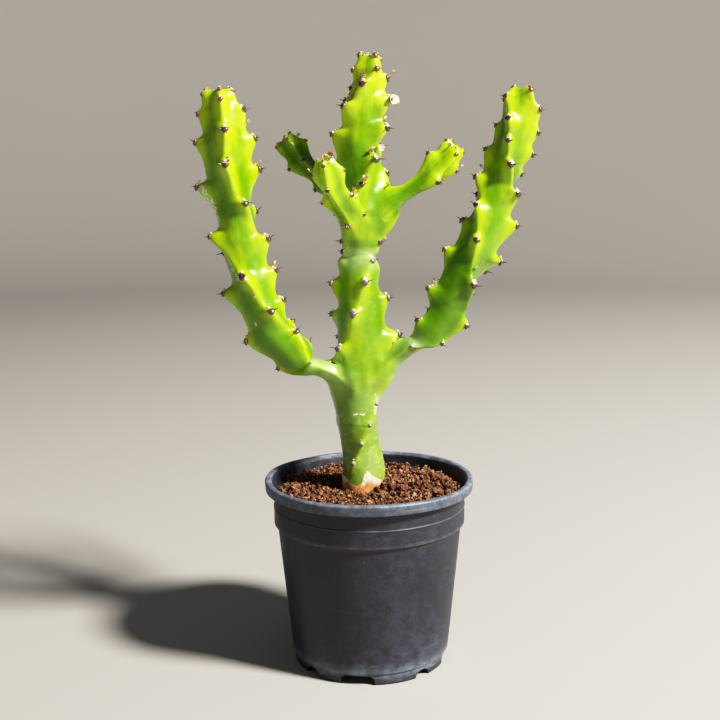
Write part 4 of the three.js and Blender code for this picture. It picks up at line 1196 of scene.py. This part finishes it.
def spine_parts(stem, stems, set_, rng):
    """Copies for one stem: a shield on each tubercle's tip, a small cream eye over it, and
    two spines that point out and to either side."""
    (shield, rim), (thorn, reach) = shield_shape(), spine_shape()
    high = shield[0][:, 1]
    above, below = smoothstep(0.1, 0.8, high), smoothstep(-0.1, -0.8, high)
    groups = [tubercle_tips(stem, stems)]
    if stem.name != "trunk":
        groups.append(crown_buds(stem))
    tip, facing, up, side, size, s = (np.concatenate(part) for part in zip(*groups))
    count, bud = len(tip), size < BUD
    # The cream on each shield's upper half is partly the eye's colour and partly painted
    # highlight.
    grown, young, old, low, cream_and_highlight = shield_traits(stem, tip, size, s, rng)
    wide = grown * set_.shield_width / 2 * (1 - 0.15 * low)
    high = grown * set_.shield_length / 2 * rng.uniform(0.85, 1.05, count) * (1 - 0.1 * low)
    bulge = grown * np.where(bud, 1.1, 1.5) * MM
    axes = np.stack([side, up, facing], 1)
    # The shields' rim share carries a painted highlight.
    parts = [copies(shield, tip, axes, np.stack([wide, high, bulge], -1),
                    old=np.outer(old, 1 - 0.75 * below), young=young[:, None],
                    bud=np.outer(cream_and_highlight, above), rim=rim)]
    rise = high * (0.9 + 0.35 * low) + grown * rng.uniform(0.5, 1.3, count) * MM
    eye = tip + up * rise[:, None] - facing * (0.3 * rise)[:, None]
    eye_size = np.outer(grown * (1 + 0.25 * low), (1.35, 1.0, 1.1)) * MM
    parts.append(copies(shield, eye, axes, eye_size, old=old[:, None] * 0.5,
                        young=young[:, None], bud=rng.uniform(0.7, 1, count)[:, None]))
    for hand in (-1, 1):
        spread = rng.uniform(0.7, 1.3, count)[:, None]
        lift = rng.uniform(-0.30, 0.30, count)[:, None]
        aim = unit(facing * 0.7 + side * hand * spread + up * lift)
        across = unit(np.cross(up, aim))
        root = tip + side * (hand * wide * 0.5)[:, None] + facing * (grown * 0.5 * MM)[:, None]
        length = grown * set_.spine_length * rng.uniform(0.6, 1.1, count)
        length *= (1 - 0.4 * young) * (1 - 0.8 * low) * np.where(bud, 0.4, 1)
        thick = grown * set_.spine_radius
        parts.append(copies(thorn, root, np.stack([across, np.cross(aim, across), aim], 1),
                            np.stack([thick, thick, length], -1), old=old[:, None] * 0.4,
                            young=young[:, None] * 0.6, point=reach))
    return parts


def build_spines(context):
    """The shields, eyes and spines of each stem as one mesh."""
    settings = context.scene.euphorbia
    stems = {name: Stem(name, settings.stems) for name in STEMS}
    for index, (name, stem) in enumerate(stems.items()):
        parts = spine_parts(stem, stems, settings.spines, np.random.default_rng(40 + index))
        finish_piece(gather(name + "_spines", parts), finish(context, "horn"), stem_slot(name))


# ------------------------------------------------------------------ dried flowers
def flower_cup(cup, stalk, slim, rng):
    """A papery cup on its stalk, along +Z: the section of CUP turned about it. The lip waves
    two, three and five times round, by shares that grow with the square of the radius. A
    slim cup is narrower and twice as deep, like a pair of upright petals. The corners'
    shares of the lip and of the heart come with it."""
    around, deep, wide, lift = 30, *((3.2, 0.6, 1.6) if slim else (1.5, 1.0, 1.0))
    u = np.linspace(0, 2 * np.pi, around, endpoint=False)[None]
    out, up, heart = np.array(CUP).T[:, :, None]
    height = np.where(up < 0, up * MM, stalk * np.minimum(up, 1)
                      + cup * deep * np.maximum(up - 0.97, 0))
    phase = rng.uniform(0, 2 * np.pi, 3)
    wave = (0.05 * np.sin(5 * u + phase[0]) + 0.10 * np.sin(3 * u + phase[1])
            + 0.26 * np.sin(2 * u + phase[2]))
    radius = out * cup * wide * (1 + 0.5 * wave * out**2)
    height = height + cup * wave * out**2 * lift
    ring = np.stack([radius * np.cos(u), radius * np.sin(u), height], -1)
    return (ring.reshape(-1, 3), grid_faces(len(CUP), around), np.repeat(out**2, around),
            np.repeat(heart, around))


def flower_parts(stem, stems, s, turn, cup, stalk, cups, rng):
    """The cups of one flower: each starts at the same place on the stem and looks outwards
    and up, or for a broad single cup to the front, by chance a little aside."""
    root, away, _ = settle(stem, stems, np.full(1, s * MM), np.full(1, float(turn)))
    broad = cup > BROAD and cups == 1
    facing = unit(away[0] * (0.8, 0.2, 0.4) + (0, -1.2, 0.3) if broad
                  else away[0] * 0.8 + (0, -0.3, 0.8))
    stray, apart = (0.1, 0.0) if cups == 1 else (0.45, 0.8 * MM)
    parts, start = [], 0
    for k in range(cups):
        grown = cup * MM * (1.0 if k == 0 else rng.uniform(0.55, 0.85))
        corners, quads, lip, heart = flower_cup(grown, stalk * MM * rng.uniform(0.8, 1.1),
                                                not broad, rng)
        aim = unit(facing + stray * rng.normal(size=3))
        across = unit(np.cross(aim, rng.normal(size=3)))
        turned = corners @ np.stack([across, np.cross(aim, across), aim])
        shift = rng.normal(size=3) * apart
        parts.append((turned + root[0] + shift, quads + start, lip, heart))
        start += len(corners)
    return [np.concatenate(part) for part in zip(*parts)]


def build_flowers(context):
    """Each dried flower in its node's place. The large one on the front arm is the brownest,
    and the large ones on the crown stem are the palest."""
    stems = {name: Stem(name, context.scene.euphorbia.stems) for name in STEMS}
    for index, (name, s, turn, cup, stalk, cups) in enumerate(FLOWERS):
        rng = np.random.default_rng(700 + index)
        points, quads, lip, heart = flower_parts(stems[name], stems, s, turn, cup, stalk, cups,
                                                 rng)
        brown = 0.9 if name == "front_arm" and cup > 3 else rng.uniform(0, 0.5)
        brown = 0.0 if name == "crown_stem" and cup >= 3 else brown
        piece = make_mesh(f"withered_flower_{index + 1:02d}", points, quads,
                          lip=lip, heart=heart, brown=np.full(len(points), brown))
        finish_piece(piece, finish(context, "petal"), "dried_flower",
                     f"dried_flower_{index + 1:02d}")


# ------------------------------------------------------------------ pot
def rounded(corners, arc_steps=5):
    """A closed outline with round corners. Each corner is (x, z, round): the round is the
    distance from the corner at which a quadratic arc leaves each side."""
    c = np.asarray(corners, float)
    before, after = np.roll(c, 1, 0), np.roll(c, -1, 0)
    line = []
    for here, last, following in zip(c, before, after):
        into, out = last[:2] - here[:2], following[:2] - here[:2]
        size = min(here[2], 0.49 * np.linalg.norm(into), 0.49 * np.linalg.norm(out))
        if size < 1e-6:
            line.append(here[:2][None])
            continue
        a = here[:2] + size * unit(into)
        b = here[:2] + size * unit(out)
        t = np.linspace(0, 1, arc_steps)[:, None]
        line.append((1 - t) ** 2 * a + 2 * t * (1 - t) * here[:2] + t**2 * b)
    return np.concatenate(line)


def subdivided(line, step):
    """The outline with extra points so that none of its straight runs is over step."""
    spans = np.linalg.norm(np.diff(line, axis=0), axis=1)
    pieces = [np.linspace(here, there, max(1, math.ceil(span / step)), endpoint=False)
              for here, there, span in zip(line, line[1:], spans)]
    return np.concatenate(pieces + [line[-1:]])


def pot_outline(wall):
    """The pot's section from the middle of its underside, up the outside, over the lip and
    down the inside to the middle of its floor, as (radius, height)."""
    p = POT
    inner_collar = p["collar"] - wall
    inner_foot = p["body_foot_radius"] - wall
    corners = [
        (0, p["floor_under"], 0), (p["foot_inside"], p["floor_under"], 0.6),
        (p["foot_inside"], 0, 0.5), (p["foot"] - 0.6, 0, 0.7), (p["foot"], 1.2, 0.5),
        (p["foot"], p["floor_under"] + 0.2, 0.4),
        (p["body_foot_radius"], p["body_foot"] + 0.6, 1.4),
        (p["body_top_radius"], p["body_top"], 1.0),
        (p["body_top_radius"] + 0.5, p["collar_foot"] - 0.5, 0.4),
        (p["collar"], p["collar_foot"], 0.7),
        (p["collar"], p["ledge"] - 0.8, 0.3), (p["collar"] + 0.45, p["ledge"] - 0.1, 0.25),
        (p["collar"] - 0.15, p["ledge"] + 0.3, 0.3),
        (p["collar"], p["lip_under"] - 0.4, 0.8), (p["lip"] - 0.5, p["lip_under"], 0.6),
        (p["lip"], p["height"] - 1.0, 0.7), (p["lip"] - 1.1, p["height"], 0.8),
        (p["lip_inside"] + 2.2, p["height"], 0.6), (p["lip_inside"] + 0.3, p["height"] - 2.2, 0.9),
        (p["lip_inside"] - 0.7, p["lip_under"] - 1, 1.2),
        (inner_collar, p["lip_under"] - 4, 1.5), (inner_collar, p["collar_foot"] + 1, 1.5),
        (p["body_top_radius"] - wall, p["body_top"], 1.5), (inner_foot, p["floor_top"], 3.0),
        (0, p["floor_top"], 0),
    ]
    return with_fine_floor(subdivided(rounded(corners), 2.4))


def with_fine_floor(outline, step=0.6):
    """The outline with points close together where the drain holes pass through the floor,
    on its underside, which runs outwards, and on its top, which runs inwards."""
    near, far = DRAIN["circle"] - DRAIN["radius"] - 1, DRAIN["circle"] + DRAIN["radius"] + 1
    fine = np.arange(near, far, step)
    for level, order in ((POT["floor_under"], 1), (POT["floor_top"], -1)):
        extra = np.stack([fine, np.full(len(fine), level)], -1)[::order]
        flat = np.flatnonzero(np.abs(outline[:, 1] - level) < 1e-6)
        keep = flat[(outline[flat, 0] > fine[0] - step / 2)
                    & (outline[flat, 0] < fine[-1] + step / 2)]
        outline = np.concatenate([outline[:keep[0]], extra, outline[keep[-1] + 1:]])
    return outline


def pot_turns(columns):
    """Turns of the pot's columns in degrees: even ones, and close ones at the notches' sides."""
    even = np.linspace(0, 360, columns, endpoint=False)
    sides = [centre + 90 * quarter + sign * (math.degrees(width / 2 / POT["foot"]) + nudge)
             for centre, width, _, _ in NOTCHES for quarter in range(4)
             for sign in (-1, 1) for nudge in (-1.2, -0.5, -0.12, 0.0, 0.03)]
    return np.unique(np.round(np.mod(np.concatenate([even, sides]), 360), 3))


def notch_lift(turn):
    """Height of the foot's underside at each turn: a notch's height inside it, else zero.
    Square notches rise at once, and the others follow an ellipse."""
    lift = np.zeros_like(turn)
    for centre, width, height, square in NOTCHES:
        half = math.degrees(width / 2 / POT["foot"])
        for quarter in range(4):
            off = np.abs(turn_between(turn, centre + 90 * quarter)) / half
            inside = off < 1
            arch = height * np.sqrt(np.clip(1 - off**2, 0, 1)) ** (0.35 if square else 1.0)
            lift = np.where(inside, np.maximum(lift, arch), lift)
    return lift


def drain_share(x, y):
    """1 inside the four drain holes of the floor and 0 outside, steep at their edges."""
    share = np.zeros(np.broadcast(x, y).shape)
    for quarter in range(4):
        turn = math.radians(DRAIN["turn"] + 90 * quarter)
        gap = np.hypot(x - DRAIN["circle"] * math.sin(turn), y + DRAIN["circle"] * math.cos(turn))
        share = np.maximum(share, smoothstep(0.45, -0.45, gap - DRAIN["radius"]))
    return share


def out_of_round(radius, height, angle, wobble):
    """The radius of a thin moulded wall that isn't quite round: it is squashed by waves of
    two and three round the pot that grow with height, sways in waves of five and nine, and
    has one broad dent in its side."""
    squash = 1 + smoothstep(20, 134, height) * (0.0040 * np.cos(2 * angle + 0.7)
                                                + 0.0022 * np.cos(3 * angle - 0.4))
    sway = 0.25 * np.sin(5 * angle + height * 0.02) + 0.2 * np.sin(9 * angle - height * 0.05)
    off = turn_between(np.degrees(angle), DENT["turn"])
    dent = bell(off, 12, 16) * bell(height - DENT["height"], 9, 30)
    return (radius * squash + sway * wobble * smoothstep(9, 40, height)
            - DENT["depth"] * dent * (radius > DENT["least_radius"]))


def pot_marks(radius, height, drain):
    """Where the pot is rubbed at its edges, with painted highlight on the lip, its top and the
    ledge, dusty on its ledges, low down and inside the lip, darkened by painted shadow just under
    the collar, and soil-brown in the drain holes."""
    off = {key: height - POT[key] for key in ("height", "ledge", "body_foot", "collar_foot")}
    lip = (height > POT["lip_under"] - 0.2) * (radius > 70)
    # Rubbed wear on the edges, and painted highlight on the lip, its top and the ledge.
    edge = (0.5 * lip + 0.6 * bell(off["height"] + 0.6, 0.9, 0.9) * lip
            + 0.35 * bell(off["ledge"], 0.4, 0.3) + 0.7 * bell(off["body_foot"], 3, 5)
            + 0.4 * bell(off["collar_foot"], 0.5, 1.0))
    dust = (smoothstep(45, 8, height) * 0.8 + smoothstep(98, 100, height) * 0.1
            + (radius < POT["collar"] - 0.9) * (height > 100) * 0.9)
    # Painted shadow just under the collar's step, and the soil seen through the drain holes.
    dirt = np.maximum(bell(off["collar_foot"] + 1.2, 1.0, 0.9), 2 * drain)
    return {"edge": edge, "dust": dust, "dirt": dirt}


def build_pot(context):
    """The pot: its section turned about its axis, a little out of round, with notches lifted
    out of its foot and drain holes let into its floor, closed by two poles on the axis."""
    set_ = context.scene.euphorbia.pot
    outline = pot_outline(set_.wall / MM)[1:-1, :, None]
    turns = pot_turns(set_.columns)
    angle = np.radians(turns)[None]
    radius, height = outline[:, 0], outline[:, 1]
    foot = (radius > POT["foot_inside"] - 0.3) & (height < POT["body_foot"] - 0.6)
    lift = np.minimum(notch_lift(turns)[None], NOTCH_ROOF)
    lifted = np.where(foot, np.maximum(height, lift), height)
    radius = out_of_round(radius, height, angle, set_.wobble / MM)
    droop = 0.35 * np.sin(3 * angle + 1.0) * smoothstep(120, 134, height)
    x, y = radius * np.sin(angle), -radius * np.cos(angle)
    drain = drain_share(x, y) * (height < POT["floor_top"] + 0.1)
    grid = np.stack([x, y, lifted + droop + DRAIN["depth"] * drain], -1) * MM
    rows, columns = x.shape
    ends = [(0, 0, POT["floor_under"] * MM), (0, 0, POT["floor_top"] * MM)]
    marks = {key: np.append(np.clip(mark + 0 * angle, 0, 1).ravel(), [0, 0])
             for key, mark in pot_marks(radius, height, drain).items()}
    piece = make_mesh("nursery_pot", np.concatenate([grid.reshape(-1, 3), ends]),
                      grid_faces(rows, columns),
                      caps(rows, columns, rows * columns, rows * columns + 1), **marks)
    finish_piece(piece, finish(context, "pot"), "pot_plastic", "pot")


# ------------------------------------------------------------------ soil
def heaps(x, y):
    """Where the soil heaps up into clods (near 1) and where gaps lie between them (near 0):
    two ripples of 7 and 3.5 mm, pushed to either side by smoothstep."""
    flat = np.stack([x, y, np.zeros_like(x)], -1)
    return smoothstep(-0.4, 0.45, ripple(flat, 7 * MM, 13) + 0.7 * ripple(flat, 3.5 * MM, 15))


def soil_height(x, y, set_):
    """Height of the soil at x, y: its level, plus the clods and two ripples of 28 and 3 mm,
    calmer near the trunk, less a dish that falls with the square of the radius towards the
    back wall, plus the round heaps: each its height times exp(-(distance / reach)^2)."""
    flat = np.stack([x, y, np.zeros_like(x)], -1)
    lumps = ripple(flat, 28 * MM, 11) + 0.5 * ripple(flat, 3 * MM, 14) + 2.2 * heaps(x, y) - 1.2
    shape = -3.0 * (np.hypot(x, y) / (66 * MM)) ** 2 * smoothstep(-50 * MM, 10 * MM, y)
    for cx, cy, reach, rise in HEAPS:
        shape = shape + rise * np.exp(-((x - cx * MM) ** 2 + (y - cy * MM) ** 2)
                                      / (reach * MM) ** 2)
    calm = smoothstep(10 * MM, 26 * MM, np.hypot(x - SOIL["trunk_x"] * MM, y))
    return set_.top + set_.lump * lumps * (0.3 + 0.7 * calm) + shape * MM


def soil_wall():
    """Radius of the soil where it meets the inside of the pot."""
    return POT["collar"] * MM - POT["wall"] * MM - SOIL["gap"] * MM


def crumb_shape():
    """A crumb of twenty faces: a regular icosahedron on the unit ball."""
    g = (1 + 5**0.5) / 2
    corners = np.array([(-1, g, 0), (1, g, 0), (-1, -g, 0), (1, -g, 0), (0, -1, g), (0, 1, g),
                        (0, -1, -g), (0, 1, -g), (g, 0, -1), (g, 0, 1), (-g, 0, -1), (-g, 0, 1)])
    faces = np.array([(0, 11, 5), (0, 5, 1), (0, 1, 7), (0, 7, 10), (0, 10, 11), (1, 5, 9),
                      (5, 11, 4), (11, 10, 2), (10, 7, 6), (7, 1, 8), (3, 9, 4), (3, 4, 2),
                      (3, 2, 6), (3, 6, 8), (3, 8, 9), (4, 9, 5), (2, 4, 11), (6, 2, 10),
                      (8, 6, 7), (9, 8, 1)])
    return corners / np.linalg.norm(corners[0]), faces


def random_frames(rng, count):
    """Three unit axes at right angles for each of many copies, turned at random."""
    a = unit(rng.normal(size=(count, 3)))
    b = unit(np.cross(a, rng.normal(size=(count, 3))))
    return np.stack([a, b, np.cross(a, b)], 1)


def scatter(rng, count, margin, clear):
    """Random places spread evenly over the soil's disc, as the radius goes with the square
    root of the draw, clear of its wall and of a disc at the trunk."""
    radius = (soil_wall() - margin) * np.sqrt(rng.uniform(0, 1, count * 2))
    angle = rng.uniform(0, 2 * np.pi, count * 2)
    x, y = radius * np.cos(angle), radius * np.sin(angle)
    free = np.hypot(x - SOIL["trunk_x"] * MM, y) > clear * MM
    return x[free][:count], y[free][:count]


def crumbs(name, rng, count, set_, smallest, largest, lift):
    """Loose crumbs on the soil, each a copy of one shape, squeezed along random axes and then
    dented corner by corner, its middle lifted by a share of its size. Most are small, by a
    power draw. They pile up on the clods and leave gaps between them, darkened there with painted
    shade."""
    shape, faces = crumb_shape()
    x, y = scatter(rng, count, 1.2 * MM, SOIL["crumb_ring"])
    heap = heaps(x, y)
    kept = heap > rng.uniform(-0.4, 0.5, len(x))
    x, y, heap = x[kept], y[kept], heap[kept]
    size = smallest + (largest - smallest) * rng.power(0.45, len(x)) * (0.6 + 0.5 * heap)
    pile = rng.uniform(0, 1.4, len(x)) * heap
    z = soil_height(x, y, set_) + lift * size + pile * MM
    centres = np.stack([x, y, z], -1)
    sizes = size[:, None] * rng.uniform(0.5, 1.2, (len(x), 3)) / 2
    points, _, triangles = join_copies(shape, [], faces, centres, random_frames(rng, len(x)),
                                       sizes)
    corners = points.reshape(len(x), -1, 3)
    dents = 1 + 0.30 * rng.normal(size=(len(x), corners.shape[1], 1)).clip(-1.6, 1.6)
    corners = centres[:, None] + (corners - centres[:, None]) * dents
    tone = np.clip(rng.beta(0.75, 1.15, len(x)) + 0.1 * heap - 0.04, 0, 1)
    # Painted shade on the crumbs in the gaps between the clods.
    deep = 0.85 * smoothstep(0.7, 0.15, heap + 0.25 * pile)
    return make_mesh(name, corners.reshape(-1, 3), [], triangles, smooth=False,
                     tone=np.repeat(tone, corners.shape[1]),
                     deep=np.repeat(deep, corners.shape[1]))


def fibres(name, rng, count, set_):
    """Short coir fibres that lie on the soil: thin three-sided tubes along a path whose
    heading turns evenly with t, from -1/2 to 1/2, and which rises and dips by half of
    cos(3 t + heading) for each unit that it runs."""
    x, y = scatter(rng, count, 4 * MM, SOIL["fibre_ring"])
    heading = rng.uniform(0, 2 * np.pi, len(x))
    bend = rng.uniform(-1.4, 1.4, len(x))
    length = rng.uniform(3, 9, len(x)) * MM
    thin, lift = 0.16 * MM, 0.7 * MM
    taper = np.array([0.4, 1, 1, 1, 1, 0.3])
    ring = np.radians([90, 210, 330])
    rows, columns = len(taper), len(ring)
    t = np.linspace(-0.5, 0.5, rows)
    angle = heading[:, None] + bend[:, None] * t
    along = np.stack([np.cos(angle), np.sin(angle), 0.5 * np.cos(3 * t + heading[:, None])], -1)
    path = np.cumsum(along * (length / rows)[:, None, None], axis=1)
    path += np.stack([x, y, soil_height(x, y, set_) + lift], -1)[:, None]
    side = unit(np.cross(along, [0, 0, 1.0]))
    up = unit(np.cross(side, along))
    wide = thin * taper[:, None, None]
    points = (path[:, :, None] + wide * (np.cos(ring)[:, None] * side[:, :, None]
                                         + np.sin(ring)[:, None] * up[:, :, None]))
    each = rows * columns
    shift = (np.arange(len(x)) * each)[:, None, None]
    quads = (grid_faces(rows, columns)[None] + shift).reshape(-1, 4)
    ends = np.array([(2, 1, 0), (each - 3, each - 2, each - 1)])
    triangles = (ends[None] + shift).reshape(-1, 3)
    tone = np.repeat(rng.uniform(0.5, 1.0, len(x)), each)
    return make_mesh(name, points.reshape(-1, 3), quads, triangles, tone=tone,
                     deep=np.zeros(len(tone)))


def soil_bed(set_):
    """The body of the soil: a disc of rings whose height is the lumpy surface, with a side
    that follows the pot's inner wall and a flat underside."""
    columns, rings, least = 420, 90, 0.4 * MM
    wall = soil_wall()
    angle = np.linspace(0, 2 * np.pi, columns, endpoint=False)[None]
    r = np.linspace(wall, least, rings)[:, None]
    x, y = r * np.cos(angle), r * np.sin(angle)
    top = np.stack([x, y, soil_height(x, y, set_)], -1)
    foot = POT["body_foot_radius"] - POT["wall"] - SOIL["foot_gap"]
    side = np.array([(foot - SOIL["foot_slope"], POT["floor_top"] + SOIL["gap"]),
                     (foot, POT["floor_top"] + SOIL["foot_rise"]),
                     (POT["body_top_radius"] - POT["wall"] - SOIL["gap"], SOIL["shoulder"]),
                     (wall / MM, SOIL["collar"]), (wall / MM, SOIL["skirt"])]) * MM
    below = np.stack([side[:, :1] * np.cos(angle), side[:, :1] * np.sin(angle),
                      side[:, 1:] + 0 * angle], -1)
    grid = np.concatenate([below, top])
    rows = len(grid)
    middle = soil_height(np.zeros(1), np.zeros(1), set_)[0]
    points = np.concatenate([grid.reshape(-1, 3), [(0, 0, side[0, 1])], [(0, 0, middle)]])
    tone = 0.35 + 0.25 * ripple(points, 3 * MM, 31)
    # Painted shade in the gaps between the clods.
    deep = np.clip(1.1 - 0.8 * heaps(points[:, 0], points[:, 1]), 0, 1)
    return make_mesh("soil_bed", points, grid_faces(rows, columns),
                     caps(rows, columns, rows * columns, rows * columns + 1), tone=tone,
                     deep=deep)


def build_soil(context):
    """The soil's body, then its crumbs, grains and fibres."""
    set_ = context.scene.euphorbia.soil
    rng = np.random.default_rng(5)
    material = finish(context, "soil")
    finish_piece(soil_bed(set_), material, "potting_mix", "soil")
    pieces = [crumbs("soil_crumbs", rng, set_.crumbs, set_, smallest=1.2 * MM,
                     largest=3.4 * MM, lift=0.25),
              crumbs("soil_grains", rng, set_.fine_crumbs, set_, smallest=0.7 * MM,
                     largest=1.7 * MM, lift=0.5),
              fibres("soil_fibres", rng, set_.fibres, set_)]
    for piece in pieces:
        finish_piece(piece, material, "potting_mix")


# ------------------------------------------------------------------ stage
def stage_bowl(context):
    """A round floor that curves up into a low wall: radius and height against the walk
    along its section, a straight run and then an arc, turned about the middle."""
    u = np.linspace(0, 2 * np.pi, 96, endpoint=False)[None]
    arc = np.radians(np.linspace(-90, BOWL["rim"], 14))[1:]
    run = np.linspace(BOWL["middle"], BOWL["flat"], 12)
    radius = np.concatenate([run, BOWL["flat"] + BOWL["bend"] * np.cos(arc)])[:, None]
    height = np.concatenate([0 * run, BOWL["bend"] + BOWL["bend"] * np.sin(arc)])[:, None]
    grid = np.stack([radius * np.cos(u), radius * np.sin(u), height + 0 * u], -1)
    rows, columns = grid.shape[:2]
    points = np.concatenate([grid.reshape(-1, 3), [(0, 0, 0)]])
    quads = grid_faces(rows, columns)
    floor = make_mesh("studio_floor", points, quads,
                      fan_faces(rows * columns, np.arange(columns), True))
    floor.data.materials.append(finish(context, "floor"))


def placed(right, up, back, place):
    """A world matrix from three directions and a place."""
    matrix = np.eye(4)
    matrix[:3, 0], matrix[:3, 1], matrix[:3, 2], matrix[:3, 3] = right, up, back, place
    return Matrix(matrix.tolist())


def soft_lamp():
    """The one lamp: a disc that faces its target."""
    data = bpy.data.lights.new("key", "AREA")
    data.shape = "DISK"
    data.size, data.energy, data.color = LAMP["size"], LAMP["power"], LAMP["colour"]
    lamp = bpy.data.objects.new("key", data)
    place, target = np.array(LAMP["place"], float), np.array(LAMP["target"], float)
    back = unit(place - target)
    right = unit(np.cross([0, 0, 1.0], back))
    lamp.matrix_world = placed(right, np.cross(back, right), back, place)
    bpy.context.scene.collection.objects.link(lamp)


def photo_camera():
    """The camera: a long lens at the pot's front, looking a little down."""
    pitch, yaw, roll = (math.radians(CAMERA[key]) for key in ("pitch", "yaw", "roll"))
    ahead = np.array([math.sin(yaw) * math.cos(pitch), math.cos(yaw) * math.cos(pitch),
                      -math.sin(pitch)])
    right = np.array([math.cos(yaw), -math.sin(yaw), 0])
    up = np.cross(right, ahead)
    data = bpy.data.cameras.new("camera")
    data.lens, data.sensor_width = CAMERA["lens"], CAMERA["sensor"]
    camera = bpy.data.objects.new("camera", data)
    tilted = right * math.cos(roll) + up * math.sin(roll)
    upright = -right * math.sin(roll) + up * math.cos(roll)
    camera.matrix_world = placed(tilted, upright, -ahead, (0, -CAMERA["back"], CAMERA["height"]))
    bpy.context.scene.collection.objects.link(camera)
    bpy.context.scene.camera = camera


def film_curve(view):
    """A film's response: deeper shade and a soft shoulder, the same for red, green and
    blue, through the points of FILM up to white."""
    view.view_transform = "Standard"
    view.use_curve_mapping = True
    view.curve_mapping.white_level = (FILM_WHITE, FILM_WHITE, FILM_WHITE)
    for light, shown in FILM:
        view.curve_mapping.curves[3].points.new(light / FILM_WHITE, shown)
    view.curve_mapping.update()


def studio_world():
    """An even pale sky all round."""
    world = bpy.data.worlds.new("studio")
    world.use_nodes = True
    background = world.node_tree.nodes["Background"]
    background.inputs["Color"].default_value = (*SKY["colour"], 1)
    background.inputs["Strength"].default_value = SKY["strength"]
    bpy.context.scene.world = world


# ------------------------------------------------------------------ operators
class EUPHORBIA_OT_stage(bpy.types.Operator):
    """Add the floor, the light and the camera"""
    bl_idname = "euphorbia.stage"
    bl_label = "Stage"

    def execute(self, context):
        stage_bowl(context)
        studio_world()
        soft_lamp()
        photo_camera()
        film_curve(context.scene.view_settings)
        return {"FINISHED"}


class EUPHORBIA_OT_pot(bpy.types.Operator):
    """Add the nursery pot"""
    bl_idname = "euphorbia.pot"
    bl_label = "Pot"

    def execute(self, context):
        build_pot(context)
        return {"FINISHED"}


class EUPHORBIA_OT_soil(bpy.types.Operator):
    """Add the soil with its crumbs and fibres"""
    bl_idname = "euphorbia.soil"
    bl_label = "Soil"

    def execute(self, context):
        build_soil(context)
        return {"FINISHED"}


class EUPHORBIA_OT_stems(bpy.types.Operator):
    """Add the skin of the trunk, the branches and the arms"""
    bl_idname = "euphorbia.stems"
    bl_label = "Stems"

    def execute(self, context):
        build_stems(context)
        return {"FINISHED"}


class EUPHORBIA_OT_spines(bpy.types.Operator):
    """Add the spine shields and spines"""
    bl_idname = "euphorbia.spines"
    bl_label = "Spines"

    def execute(self, context):
        build_spines(context)
        return {"FINISHED"}


class EUPHORBIA_OT_flowers(bpy.types.Operator):
    """Add the dried flowers"""
    bl_idname = "euphorbia.flowers"
    bl_label = "Dried Flowers"

    def execute(self, context):
        build_flowers(context)
        return {"FINISHED"}


class EUPHORBIA_PT_panel(bpy.types.Panel):
    """Lists the operators and the settings"""
    bl_label = "Potted Euphorbia"
    bl_idname = "EUPHORBIA_PT_panel"
    bl_space_type = "VIEW_3D"
    bl_region_type = "UI"
    bl_category = "Euphorbia"

    def draw(self, context):
        for operator in OPERATORS:
            self.layout.operator(operator.bl_idname)
        settings = context.scene.euphorbia
        for group in (settings.stems, settings.spines, settings.pot, settings.soil,
                      settings.colours):
            box = self.layout.box()
            for key in group.__annotations__:
                box.prop(group, key)


OPERATORS = (EUPHORBIA_OT_stage, EUPHORBIA_OT_pot, EUPHORBIA_OT_soil, EUPHORBIA_OT_stems,
             EUPHORBIA_OT_spines, EUPHORBIA_OT_flowers)
CLASSES = (StemSettings, SpineSettings, PotSettings, SoilSettings, ColourSettings,
           PlantSettings, *OPERATORS, EUPHORBIA_PT_panel)


def register():
    """Adds the classes, and the settings to each scene."""
    for cls in CLASSES:
        bpy.utils.register_class(cls)
    bpy.types.Scene.euphorbia = bpy.props.PointerProperty(type=PlantSettings)


def unregister():
    """Takes the settings and the classes out again."""
    del bpy.types.Scene.euphorbia
    for cls in reversed(CLASSES):
        bpy.utils.unregister_class(cls)


def main():
    """Builds everything in the panel's order."""
    register()
    for operator in OPERATORS:
        group, name = operator.bl_idname.split(".")
        getattr(getattr(bpy.ops, group), name)()


if __name__ == "__main__":
    main()
